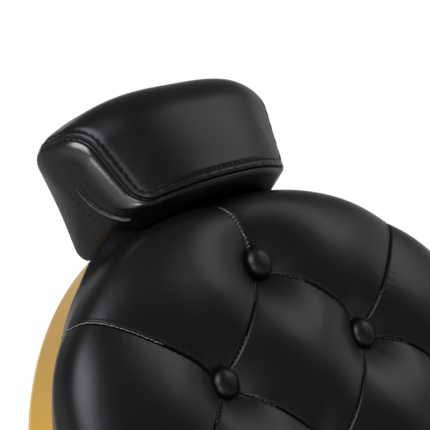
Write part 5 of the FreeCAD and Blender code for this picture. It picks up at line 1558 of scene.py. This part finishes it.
@dataclass
class Headrest:
    """Wrapped head pad: one panel over front, top and rear, sewn to a band of ends and underside."""

    frame: BackFrame = field(default_factory=BackFrame)
    # Pad before sewing
    half_width: float = 119.0
    lean: float = 10.0
    up: float = 248.0
    behind: float = 88.0
    corners: tuple[tuple[float, float], ...] = (
        (72.0, 11.0), (74.0, 98.5), (15.0, 114.0), (-20.0, 0.0), (38.0, -8.0))
    rounds: tuple[float, ...] = (7.0, 34.0, 18.0, 16.0, 26.0)
    crown_top: float = 21.0
    crown_front: float = 30.0
    crown_power: float = 2.7
    taper: float = 0.0028
    taper_middle: float = 55.0
    low_taper: float = 0.12
    end_round: float = 22.0
    end_inset: float = 16.0
    end_dome: float = 8.0
    end_run: float = 48.0
    # Room over the round back: radius at depths behind the button plane
    clear_depth: tuple[float, ...] = (-150.0, -118.0, -111.0, -95.0, -55.0, -52.0, -44.0)
    clear_radius: tuple[float, ...] = (235.0, 246.0, 264.0, 273.4, 277.2, 277.2, 267.0)
    clear_soft: float = 1.3
    # Seam, topstitch and the swell of the leather beside them
    seam_corner: float = 17.0
    seam_in: float = 8.0
    seam_out: float = 4.5
    seam_rise: tuple[float, float] = (70.0, 110.0)
    groove_depth: float = 4.4
    groove_width: float = 1.1
    flange_height: float = 0.45
    topstitch: float = 7.4
    topstitch_pitch: float = 6.2
    topstitch_depth: float = 1.2
    topstitch_thread: tuple[float, float] = (4.4, 0.45)
    roll_height: float = 0.3
    panel_swell: float = 1.6
    unevenness: float = 0.6
    # Slit on the near end, in the plane of the end panel
    slit: tuple[tuple[float, float], ...] = (
        (45.0, 58.0), (43.5, 49.0), (44.0, 39.0), (46.0, 29.0), (49.5, 20.0), (54.5, 12.5), (61.0, 8.0))
    slit_rows: tuple[tuple[float, float], ...] = ((10.0, 5.0), (-12.0, 6.5))
    slit_thread: tuple[float, float] = (2.6, 0.32)
    slit_depth: float = 1.5
    slit_lip_height: float = 1.3
    slit_band_depth: float = 0.8
    lip_offset: float = -1.7
    lip_radius: float = 0.55
    # Band that is rubbed smooth: distances from the ends, lengths round the section, distances from the seam
    rub_end: tuple[float, float] = (14.0, 6.0)
    rub_top: tuple[float, float] = (78.0, 108.0)
    rub_strip: tuple[float, float, float, float] = (0.0, 3.0, 9.0, 20.0)
    # Mesh
    around: int = 324

    def section(self) -> tuple[Array, Array, float, float]:
        """Section outline from the front lower edge upwards, with more points at the seams.

        Returns:
            Points, their lengths along the outline, the outline's length, and the length from the front lower
            edge over the top to the rear lower edge.
        """
        points, length = along_loop(rounded_polygon(self.corners, self.rounds), 1600)
        lower = int(np.linalg.norm(points - np.array(self.corners[3]), axis=1).argmin())
        panel = length * lower / len(points)
        spots = (0.0, self.topstitch, panel - self.topstitch, panel, length)
        run = crowded_at(length, self.around + 1, spots, 4.0, 3.0)[:-1]
        closed = np.concatenate([points, points[:1]])
        return points_at(closed, np.linspace(0.0, length, len(closed)), run), run, length, panel

    def stations(self) -> tuple[Array, Array, Array, Array]:
        """Rings across the pad, from the middle of one end to the middle of the other.

        The body is straight, then the edge turns through an arc, then the end closes with a dome whose slope
        goes on from the arc's end.

        Returns:
            Place across, inset of the outline, share by which the outline closes, and the length along the
            cover.
        """
        flat = self.half_width - self.end_round
        last = math.pi / 2 - math.atan2(2 * self.end_dome, self.end_run)
        angle = crowded_at(last, 20, ((self.end_round - self.seam_in) / self.end_round,), 0.4, 3.0)[1:]
        close = np.linspace(0.0, 0.97, 40)[1:]
        seam = self.half_width - self.seam_in
        body = crowded_at(flat, 92, (seam, seam - self.topstitch), 4.0, 3.0)
        dome = flat + self.end_round * math.sin(last) + self.end_dome * (1 - (1 - close) ** 2)
        x = np.concatenate([body, flat + self.end_round * np.sin(angle), dome])
        deepest = self.end_inset * (1 - math.cos(last))
        inset = np.concatenate([0 * body, self.end_inset * (1 - np.cos(angle)), np.full(len(close), deepest)])
        shut = np.concatenate([0 * body, 0 * angle, close])
        end = flat + self.end_round * last + close * self.end_run
        run = np.concatenate([body, flat + self.end_round * angle, end])
        mirror = slice(None, 0, -1)
        return (np.concatenate([-x[mirror], x]), np.concatenate([inset[mirror], inset]),
                np.concatenate([shut[mirror], shut]), np.concatenate([-run[mirror], run]))

    def base(self) -> tuple[Array, Array, Array, float, float]:
        """Smooth pad before sewing, as across, forward and up in the headrest's own frame.

        Each ring is the section drawn in towards its middle by the inset and the closing share. Top and front
        swell by 1 - |x / w|^p towards the middle of the pad, and the pad widens evenly from foot to top, most
        at its lower edge.

        Returns:
            Points ring by ring, length round the section, length across, and the lengths of the big panel and
            of the whole section.
        """
        loop, around, length, panel = self.section()
        x, inset, shut, run = self.stations()
        middle = loop.mean(axis=0)
        arm = loop - middle
        reach = np.linalg.norm(arm, axis=1)
        drawn = inset[:, None] * (0.35 + 0.65 * ease(loop[:, 0], 0.0, 60.0))[None]
        scale = (1.0 - drawn / reach[None]) * (1.0 - shut[:, None])
        ring = middle + arm[None] * scale[..., None]
        (front, foot), top, rear = self.corners[0], self.corners[2][1], self.corners[2][0]
        swell = np.clip(1.0 - np.abs(x / self.half_width) ** self.crown_power, 0.0, 1.0)[:, None]
        forward = ring[..., 0] + self.crown_front * swell * ease(ring[..., 0], rear - 8.0, front + 4.0)
        rise = ring[..., 1] + self.crown_top * swell * np.clip((ring[..., 1] - foot) / (top - foot), 0.0, 1.0)
        slant = self.taper * (0.5 + 0.5 * ease(ring[..., 0], -10.0, 55.0))
        low = ease(ring[..., 0], 0.0, 50.0) * ease(-ring[..., 1], -14.0, 10.0)
        wide = x[:, None] * (1.0 + slant * (ring[..., 1] - self.taper_middle)) * (1.0 - self.low_taper * low)
        points = np.stack([wide, forward, rise], axis=-1)
        return points, around, run, panel, length

    def seam_line(self, a: Array) -> Array:
        """Length across at which the end seam runs; it lies further out over the top than down the front."""
        return self.half_width - self.seam_in + self.seam_out * ease(a, *self.seam_rise)

    def sewing(self, a: Array, c: Array, panel: float, length: float) -> tuple[Array, Array]:
        """Distance from the seam round the big panel, inside negative, and the length along it.

        The panel is a rounded rectangle in the flattened cover, so the distance is that of a rounded box.

        Args:
            a: length round the section from the front lower edge.
            c: length across the pad.
            panel: length of the panel.
            length: length of the section.

        Returns:
            Distance and length along the seam.
        """
        a = np.where(a > (panel + length) / 2, a - length, a)
        seam = self.seam_line(a)
        qa = np.maximum(-a, a - panel) + self.seam_corner
        qc = np.abs(c) - seam + self.seam_corner
        outside = np.hypot(np.clip(qa, 0, None), np.clip(qc, 0, None))
        return outside + np.minimum(np.maximum(qa, qc), 0.0) - self.seam_corner, a + np.abs(c)

    def sewn(self, points: Array, a: Array, c: Array, gap: Array, run: Array) -> Array:
        """Height of seam groove, puckered flange, topstitch valley, roll of the band, swell and slit.

        Args:
            points: smooth pad.
            a: length round the section, per column.
            c: length across, per ring.
            gap: distance from the seam.
            run: length along the seam.

        Returns:
            Height along the normal.
        """
        drift = run + 2.5 * np.sin(run / 13.0)
        pucker = 1.0 + 0.3 * np.sin(drift / 2.3) + 0.2 * np.sin(drift / 1.31 + 1.0)
        valley = self.topstitch_depth + 0.1 * np.sin(2 * np.pi * run / self.topstitch_pitch)
        slow = np.sin(points[..., 0] / 23.0 + 0.6) * np.sin(a / 29.0 + 1.1)[None, :]
        near_end = ease(-c, self.half_width - 4.0, self.half_width + 2.0)[:, None]
        height = -self.groove_depth * np.exp(-np.abs(gap) / self.groove_width)
        height += self.flange_height * bell(gap + self.topstitch / 2, 2.8) * pucker
        height -= valley * bell(gap + self.topstitch, 1.5)
        height += self.roll_height * bell(gap - 6.0, 4.0)
        height += self.panel_swell * ease(-gap, 9.0, 45.0)
        height += self.unevenness * slow * ease(-gap, 6.0, 25.0)
        height += near_end * self._slit_height(points[..., 1:])
        return height

    def _slit_height(self, plane: Array) -> Array:
        """Sewn slit on one end: a groove, a rolled lip under it and a pressed band above it.

        Args:
            plane: points in the plane of the end panel.

        Returns:
            Height along the normal.
        """
        gap, side, run = polyline_distance(plane, np.array(self.slit))
        signed = gap * side
        end = ease(run, 0.0, 4.0)
        band = ease(signed, 0.0, 2.0) * (1 - ease(signed, 7.5, 10.0))
        return end * (-self.slit_depth * bell(gap, 0.9) + self.slit_lip_height * bell(signed + 1.9, 1.1)
                      - self.slit_band_depth * band)

    def rubbed(self, a: Array, c: Array, gap: Array) -> Array:
        """Share by which the band is rubbed smooth: a strip outside the seam, on the ends and below the top.

        Args:
            a: length round the section, per column.
            c: length across, per ring.
            gap: distance from the seam.

        Returns:
            The share from 0 to 1 on the grid.
        """
        near, full = self.rub_end
        at_end = ease(np.abs(c), self.half_width - near, self.half_width - full)[:, None]
        below_top = 1 - ease(a, *self.rub_top)
        strip = ease(gap, *self.rub_strip[:2]) * (1 - ease(gap, *self.rub_strip[2:]))
        return strip * (at_end * below_top)

    def place(self, points: Array) -> Array:
        """Chair coordinates: turned by the headrest's lean, lifted clear of the back, turned by the back's.

        The lift is a soft maximum of the height and of the arch sqrt(R2 - x2), whose radius follows the
        shell's section and is smaller over the soft cushion in front of it.

        Args:
            points: points in the headrest's own frame.

        Returns:
            Points in millimetres.
        """
        c, s = math.cos(math.radians(self.lean)), math.sin(math.radians(self.lean))
        x, forward, up = points[..., 0], points[..., 1], points[..., 2]
        u = self.up + up * c + forward * s
        n = -self.behind - up * s + forward * c
        arch = np.sqrt(np.interp(n, self.clear_depth, self.clear_radius) ** 2 - x ** 2)
        u = arch + self.clear_soft * np.logaddexp(0.0, (u - arch) / self.clear_soft)
        return self.frame.world(x, u, n)

    def build(self) -> None:
        """Makes the sewn cover and its threads."""
        points, a, c, panel, length = self.base()
        placed = self.place(points)
        ring_step = np.gradient(placed, axis=0)
        round_step = (np.roll(placed, -1, axis=1) - np.roll(placed, 1, axis=1)) / 2
        normal = unit(np.cross(round_step, ring_step))
        normal *= np.sign(((placed - placed.mean(axis=(0, 1))) * normal).sum())
        gap, run = self.sewing(a[None, :], c[:, None], panel, length)
        skin = placed + normal * self.sewn(points, a, c, gap, run)[..., None]
        cover = loft(skin)
        polish = np.zeros(len(cover.points))
        polish[:gap.size] = self.rubbed(a, c, gap).ravel()
        pad = make_object("headrest_cover", cover.outward(), BLACK_LEATHER, "headrest",
                          polish=polish)
        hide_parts("headrest_cushion")
        grid = SewnSkin(points, a, c, skin, normal)
        for name, surface, finish in (
                ("headrest_topstitch", self.threads(grid, panel), BLACK_THREAD),
                ("headrest_slit_stitches", self.slit_threads(grid), BLACK_THREAD),
                # The slit's lip bead wears the lighter leather that paints its highlight.
                ("headrest_slit_edge_painted_highlight", self.slit_lip(grid), SLIT_EDGE_HIGHLIGHT)):
            make_object(name, surface, finish, "headrest")

    def threads(self, grid: SewnSkin, panel: float) -> Surface:
        """Topstitches at one distance inside the seam, along a rounded rectangle in the flattened cover.

        Args:
            grid: the sewn skin.
            panel: length of the big panel.

        Returns:
            The stitches.
        """
        seam = self.half_width - self.seam_in - self.topstitch
        low, high = self.topstitch, panel - self.topstitch
        radius = max(self.seam_corner - self.topstitch, 3.0)
        outline = rounded_polygon([(low, seam), (high, seam), (high, -seam), (low, -seam)], [radius] * 4)
        fine = 2000
        path, total = along_loop(outline, fine)
        path[:, 1] *= (self.seam_line(path[:, 0]) - self.topstitch) / seam
        pick = np.linspace(0, fine, int(total / self.topstitch_pitch), endpoint=False).astype(int)
        here = grid.sampled(grid.skin, path[pick])
        there = grid.sampled(grid.skin, path[(pick + 4) % fine])
        up = grid.sampled(grid.normal, path[pick])
        return laid(stitch_shape(*self.topstitch_thread), here, there - here, up, -0.1)

    def _beside_slit(self, grid: SewnSkin, offset: float, pitch: float) -> tuple[Array, Array]:
        """Skin and normals at a pitch along a line beside the slit.

        Args:
            grid: the sewn skin.
            offset: distance from the slit, positive above it.
            pitch: distance between places.

        Returns:
            Points of the skin and unit normals.
        """
        line = np.array(self.slit)
        step = unit(np.gradient(line, axis=0))
        row = line + offset * np.stack([-step[:, 1], step[:, 0]], axis=1)
        run = lengths(row)
        spots = points_at(row, run, np.arange(2.0, run[-1] * 0.95, pitch))
        return grid.on_end(spots, self.half_width - 2.0)

    def slit_threads(self, grid: SewnSkin) -> Surface:
        """Two rows of stitches beside the slit.

        Args:
            grid: the sewn skin.

        Returns:
            The stitches.
        """
        rows: list[Surface] = []
        for offset, pitch in self.slit_rows:
            here, up = self._beside_slit(grid, offset, pitch)
            rows.append(laid(stitch_shape(*self.slit_thread), here, np.gradient(here, axis=0), up, 0.05))
        return together(rows)

    def slit_lip(self, grid: SewnSkin) -> Surface:
        """Folded edge of the slit: a round bead along its lower lip, narrowing at both ends by sin(pi t)^0.4.
        Its lighter, glossier finish is a painted highlight on the lip.

        Args:
            grid: the sewn skin.

        Returns:
            The bead.
        """
        here, up = self._beside_slit(grid, self.lip_offset, 0.8)
        side = unit(np.cross(up, unit(np.gradient(here, axis=0))))
        t = np.linspace(0.02, 0.98, len(here))
        girth = self.lip_radius * np.sin(np.pi * t) ** 0.4
        turn = np.linspace(0.0, 2 * np.pi, 10, endpoint=False)[None, :, None]
        ring = np.cos(turn) * side[:, None] + (np.sin(turn) + 0.3) * up[:, None]
        return loft(here[:, None] + girth[:, None, None] * ring).outward()


# Seat, arms and legrest


@dataclass
class Pad:
    """Sewn pad on a flat foot: full sides, a welt round the shoulder and a crowned top."""

    name: str
    node: str
    body: str
    half_x: float
    y0: float
    y1: float
    corner: float
    foot: float
    height: float
    shoulder: float
    side_swell: float
    welt: float
    voxel: float
    cap: float
    centre_x: float = 0.0
    fill: float = 0.7
    foot_tuck: float = 1.5
    gather_height: float = 0.5
    round_steps: int = 20
    edge_steps: int = 40
    stuffing: Stuffing = field(default_factory=Stuffing)

    @property
    def half(self) -> Array:
        """Half width and half length."""
        return np.array([self.half_x, (self.y1 - self.y0) / 2])

    @property
    def middle(self) -> Array:
        """Middle of the outline."""
        return np.array([self.centre_x, (self.y0 + self.y1) / 2])

    def outline(self) -> tuple[Array, Array]:
        """Perimeter of a rounded rectangle: centres of the rounding, which slide along straight sides.

        Returns:
            Centres of the rounding from the middle, and unit directions outwards.
        """
        turn = np.linspace(0.0, np.pi / 2, self.round_steps)
        run = np.linspace(-1.0, 1.0, self.edge_steps + 2)[1:-1]
        shares: list[Array] = []
        ways: list[Array] = []
        for i, corner in enumerate([(1, 1), (-1, 1), (-1, -1), (1, -1)]):
            angle = turn + i * np.pi / 2
            shares.append(np.broadcast_to(corner, (len(turn), 2)).astype(float))
            ways.append(np.stack([np.cos(angle), np.sin(angle)], axis=1))
            side = np.array([np.cos(angle[-1]), np.sin(angle[-1])])
            level = np.array([-side[1], side[0]])
            shares.append(side * np.abs(side) + level * run[:, None])
            ways.append(np.broadcast_to(side, (len(run), 2)))
        return np.concatenate(shares) * (self.half - self.corner), np.concatenate(ways)

    def rings(self) -> Array:
        """Rings from the middle of the foot over sides, shoulder and crown to the top.

        The side swells by s sin(pi t). Over the top, with q the outline's share and a, b the shares of the
        half sides, the crown rises by (1 - q^5) (0.5 + 0.5 (1 - |a|^2.4) (1 - |b|^2.4)), and short gathers
        run in from the welt.

        Returns:
            Rings of points.
        """
        straight, way = self.outline()
        t = np.linspace(0.0, 1.0, 15)
        q = 1.0 - np.linspace(0.0, 1.0, 34)[:-1] ** 1.25
        foot_q = np.array([0.02, 0.4, 0.8, 0.96])
        side_out = self.side_swell * np.sin(np.pi * t) - self.foot_tuck * (1 - t) ** 6
        out = np.concatenate([np.full(len(foot_q), -self.foot_tuck), side_out, np.zeros(len(q))])
        scale = np.concatenate([foot_q, np.ones(len(t)), q])
        rise = np.concatenate([np.zeros(len(foot_q)), self.shoulder * t, np.full(len(q), self.shoulder)])
        flat = (straight[None] + way[None] * (self.corner + out[:, None, None])) * scale[:, None, None]
        part = np.clip(np.abs(flat) / self.half, 0.0, 1.0) ** 2.4
        dome = 0.5 + 0.5 * (1 - part[..., 0]) * (1 - part[..., 1])
        below = len(foot_q) + len(t)
        on_top = np.concatenate([np.zeros(below), 1 - q ** 5])[:, None]
        crown = (self.height - self.shoulder) * on_top * dome
        inward = np.concatenate([np.ones(below), q])[:, None]
        edge = straight + way * self.corner
        along = np.cumsum(np.linalg.norm(np.diff(edge, axis=0, prepend=0.0), axis=1))
        gathers = np.sin(along / 7.0 + 1.6 * np.sin(along / 31.0)) * bell(inward - 0.93, 0.035) * on_top
        height = self.foot + rise[:, None] + crown + self.gather_height * gathers
        return np.concatenate([flat + self.middle, height[..., None]], axis=-1)

    def build(self, place: Matrix | None = None) -> None:
        """Makes the pad and its welt.

        Args:
            place: frame of the pad, the chair's own if left out.
        """
        sewn = loft(self.rings()).merged(0.01).outward()
        surface = self.stuffing.fill(sewn, self.held, self.voxel, self.cap)
        tube = self.welt_tube()
        if place is not None:
            turn = np.array(place)
            for part in (surface, tube):
                part.points = part.points @ turn[:3, :3].T + turn[:3, 3]
        pad = make_object(self.name + "_cover", surface, PAD_LEATHER, self.body)
        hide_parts(self.node)
        finer = pad.modifiers.new("finer", "SUBSURF")
        finer.levels = finer.render_levels = 1
        make_object(self.name + "_welt", tube.outward(), PAD_LEATHER, self.body)

    def held(self, points: Array) -> Array:
        """Points that stay where they are: the foot and what lies under the welt.

        Args:
            points: points of the pad.

        Returns:
            Mask of the points that stay.
        """
        straight, way = self.outline()
        line = straight + way * self.corner + self.middle
        near = np.linalg.norm(points[:, None, :2] - line[None], axis=-1).min(axis=1)
        level = np.abs(points[:, 2] - self.foot - self.shoulder)
        at_foot = points[:, 2] < self.foot + 2 * self.voxel
        return at_foot | (np.hypot(near, level) < self.welt + self.voxel / 2)

    def welt_tube(self) -> Surface:
        """Piped welt: a circle carried round the shoulder's outline.

        Returns:
            The welt.
        """
        straight, way = self.outline()
        turn = np.linspace(0.0, 2 * np.pi, 12, endpoint=False)
        out = self.corner + self.welt * np.cos(turn)
        flat = straight[:, None] + way[:, None] * out[None, :, None]
        z = np.broadcast_to(self.foot + self.shoulder + self.welt * np.sin(turn), flat.shape[:2])
        points = np.concatenate([flat + self.middle, z[..., None]], axis=-1)
        quads = grid_quads(*flat.shape[:2], close_rows=True, close_cols=True)
        return Surface(points.reshape(-1, 3), quads)


@dataclass
class SoftSeating:
    """Pads of seat, arms and legrest; the calf pad lies on the front of the legrest's leaning board."""

    arm_x: float = 271.0
    leg_hinge: tuple[float, float, float] = (0.0, -250.0, 362.0)
    leg_lean: float = -12.0
    board_front: float = -32.0
    board_foot: float = -211.0

    def leg_place(self) -> Matrix:
        """Frame of the calf pad: foot on the front of the legrest board, Y up the board.

        Returns:
            The frame, in millimetres.
        """
        lean = Matrix.Rotation(math.radians(self.leg_lean), 4, "X")
        stand = Matrix.Rotation(math.radians(90.0), 4, "X")
        board = Matrix.Translation((0.0, self.board_front, self.board_foot))
        return Matrix.Translation(self.leg_hinge) @ lean @ (board @ stand)

    def build(self) -> None:
        """Makes the four pads."""
        Pad("seat", "seat_cushion", "seat", half_x=252.0, y0=-272.0, y1=199.0, corner=57.0, foot=410.4,
            height=96.0, shoulder=66.0, side_swell=1.0, welt=4.0, voxel=6.0, cap=8.0).build()
        for name, x in (("arm_pad_left", self.arm_x), ("arm_pad_right", -self.arm_x)):
            Pad(name, name, "seat", half_x=28.0, y0=-247.0, y1=182.0, corner=22.0, foot=668.0, height=34.0,
                shoulder=16.0, side_swell=0.5, welt=1.8, voxel=3.5, cap=3.0, centre_x=x).build()
        Pad("legrest", "legrest_cushion", "legrest", half_x=191.0, y0=1.0, y1=175.0, corner=34.0, foot=0.0,
            height=36.0, shoulder=20.0, side_swell=0.5, welt=3.0, voxel=4.5, cap=5.0).build(self.leg_place())


# Studio


def matrix_of(right: Array, up: Array, back: Array, spot: Array) -> Matrix:
    """Matrix of an object from its three axes and its place."""
    return Matrix(np.vstack([np.stack([right, up, back, spot], axis=1), [0.0, 0.0, 0.0, 1.0]]).tolist())


@dataclass(frozen=True)
class Softbox:
    """Square lamp that faces the chair from a direction; distance and size in metres, power in watts."""

    name: str
    direction: tuple[float, float, float]
    distance: float
    size: float
    watts: float
    aim: tuple[float, float, float] = (0.0, 0.4, 0.85)

    def build(self) -> None:
        """Makes the lamp, level and turned to its aim."""
        data = bpy.data.lights.new(self.name, "AREA")
        data.shape = "RECTANGLE"
        data.size = data.size_y = self.size
        data.energy = self.watts
        away = unit(np.array(self.direction))
        side = unit(np.cross([0.0, 0.0, 1.0], away))
        spot = np.array(self.aim) + away * self.distance
        lamp = bpy.data.objects.new(self.name, data)
        lamp.matrix_world = matrix_of(side, np.cross(away, side), away, spot)
        bpy.context.scene.collection.objects.link(lamp)


SOFTBOXES = (
    Softbox("softbox_key", (-0.62, -0.10, 0.77), 2.0, 1.6, 66.0),
    Softbox("softbox_front", (-0.80, -0.60, 0.0), 2.2, 0.8, 18.0),
    Softbox("softbox_middle", (0.72, -0.30, 0.62), 2.2, 0.9, 8.0),
    Softbox("softbox_right", (0.86, -0.39, 0.35), 2.2, 0.8, 1.0),
)


@dataclass
class Studio:
    """Camera at the photograph's angle, soft lamps, pale floor and white surroundings."""

    azimuth: float = -46.2
    elevation: float = 12.5
    roll: float = 2.5
    distance: float = 2100.0
    focal_pixels: float = 2385.0
    image_pixels: float = 430.0
    target: tuple[float, float, float] = (-83.0, 451.4, 1017.3)
    surround: float = 0.4
    dim_above: float = 0.8
    dim_from: tuple[float, float] = (0.0, 0.35)
    dark_side: tuple[float, float, float] = (0.70, -0.71, 0.0)
    dark_share: float = 0.85
    dark_edge: tuple[float, float] = (0.80, 0.97)
    floor_radius: float = 2600.0
    floor_fade: tuple[float, float] = (0.7, 2.3)
    floor_rings: int = 24
    floor_turns: int = 96

    def camera(self) -> None:
        """Camera from its angles, distance and roll, with the focal length in pixels made millimetres."""
        a, e, r = (math.radians(v) for v in (self.azimuth, self.elevation, self.roll))
        back = np.array([math.sin(a) * math.cos(e), -math.cos(a) * math.cos(e), math.sin(e)])
        level = np.array([math.cos(a), math.sin(a), 0.0])
        rise = np.cross(back, level)
        right = level * math.cos(r) - rise * math.sin(r)
        up = level * math.sin(r) + rise * math.cos(r)
        spot = (np.array(self.target) + back * self.distance) * MM
        data = bpy.data.cameras.new("photo_camera")
        data.sensor_width = 36.0
        data.lens = self.focal_pixels / self.image_pixels * data.sensor_width
        camera = bpy.data.objects.new("photo_camera", data)
        camera.matrix_world = matrix_of(right, up, back, spot)
        bpy.context.scene.collection.objects.link(camera)
        bpy.context.scene.camera = camera

    def world(self) -> None:
        """White surroundings for camera rays; what mirrors is white round the horizon and dim above.

        The horizon has a dark side at the front right, which keeps the contrast of the pillows. The light
        that falls on the chair from all round is dimmer than the white that is seen.
        """
        world = bpy.data.worlds.new("white_studio")
        bpy.context.scene.world = world
        world.use_nodes = True
        graph = Graph(world.node_tree)
        way = graph.add("ShaderNodeTexCoord", out="Generated")
        above = graph.step(graph.height(way), *self.dim_from)
        facing = graph.add("ShaderNodeVectorMath", {"operation": "DOT_PRODUCT"}, {0: way, 1: self.dark_side},
                           out="Value")
        dark = graph.step(facing, *self.dark_edge) * self.dark_share * (1.0 - above)
        bright = 1.0 - self.surround
        mirrored = graph.rays("Glossy", "Transmission") * (bright - above * self.dim_above - dark)
        strength = self.surround + graph.rays("Camera") * bright + mirrored
        shader = graph.add("ShaderNodeBackground", links={"Color": WHITE, "Strength": strength})
        graph.add("ShaderNodeOutputWorld", links={"Surface": shader})

    def floor(self) -> None:
        """Pale floor that fades to white away from the chair."""
        turn = np.linspace(0.0, 2 * np.pi, self.floor_turns, endpoint=False)
        radius = np.linspace(0.02, 1.0, self.floor_rings)[:, None] * self.floor_radius
        level = np.zeros((self.floor_rings, self.floor_turns))
        grid = loft(np.stack([radius * np.cos(turn), radius * np.sin(turn), level], axis=-1), caps=False)
        mesh = bpy.data.meshes.new("pale_floor")
        middle = [list(range(self.floor_turns))]
        mesh.from_pydata((grid.points * MM).tolist(), [], grid.quads.tolist() + middle)
        mesh.materials.append(self.floor_material())
        floor = bpy.data.objects.new("pale_floor", mesh)
        bpy.context.scene.collection.objects.link(floor)

    def floor_material(self) -> bpy.types.Material:
        """Pale paint with a faint mottle, mixed far out with white for rays that are seen or mirrored.

        Returns:
            The material.
        """
        material = bpy.data.materials.new("pale_floor_paint")
        material.use_nodes = True
        graph = Graph(material.node_tree)
        paint = graph.add("ShaderNodeBsdfPrincipled", links={
            "Base Color": graph.mix(graph.noise(6.0, 3.0), (0.82, 0.82, 0.82), (0.86, 0.86, 0.86)),
            "Roughness": 0.6})
        white = graph.add("ShaderNodeEmission", links={"Color": WHITE, "Strength": 1.0})
        far = graph.step(graph.length(graph.place()), *self.floor_fade)
        seen = graph.rays("Camera", "Glossy", "Transmission")
        shader = graph.add("ShaderNodeMixShader", links={0: far * seen, 1: paint, 2: white})
        graph.add("ShaderNodeOutputMaterial", links={"Surface": shader})
        return material

    def build(self) -> None:
        """Sets up view, camera, lamps, world and floor."""
        bpy.context.scene.view_settings.view_transform = "Standard"
        self.camera()
        for softbox in SOFTBOXES:
            softbox.build()
        self.world()
        self.floor()


def dress_nodes(frame: Mapping[str, Any]) -> None:
    """Gives every carried-over node the finish of its slot.

    Args:
        frame: the loaded frame.
    """
    for row in frame["record"]["subparts"]:
        mesh = frame["nodes"][row["node"]].data
        mesh.materials.clear()
        mesh.materials.append(SLOT_FINISH[Slot(row["material_slot"])].material())


def main() -> None:
    """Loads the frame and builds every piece."""
    logging.basicConfig(level=logging.INFO, format="%(name)s: %(message)s")
    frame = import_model()
    dress_nodes(frame)
    TuftedBack().build()
    Headrest().build()
    SoftSeating().build()
    Studio().build()


if __name__ == "__main__":
    main()
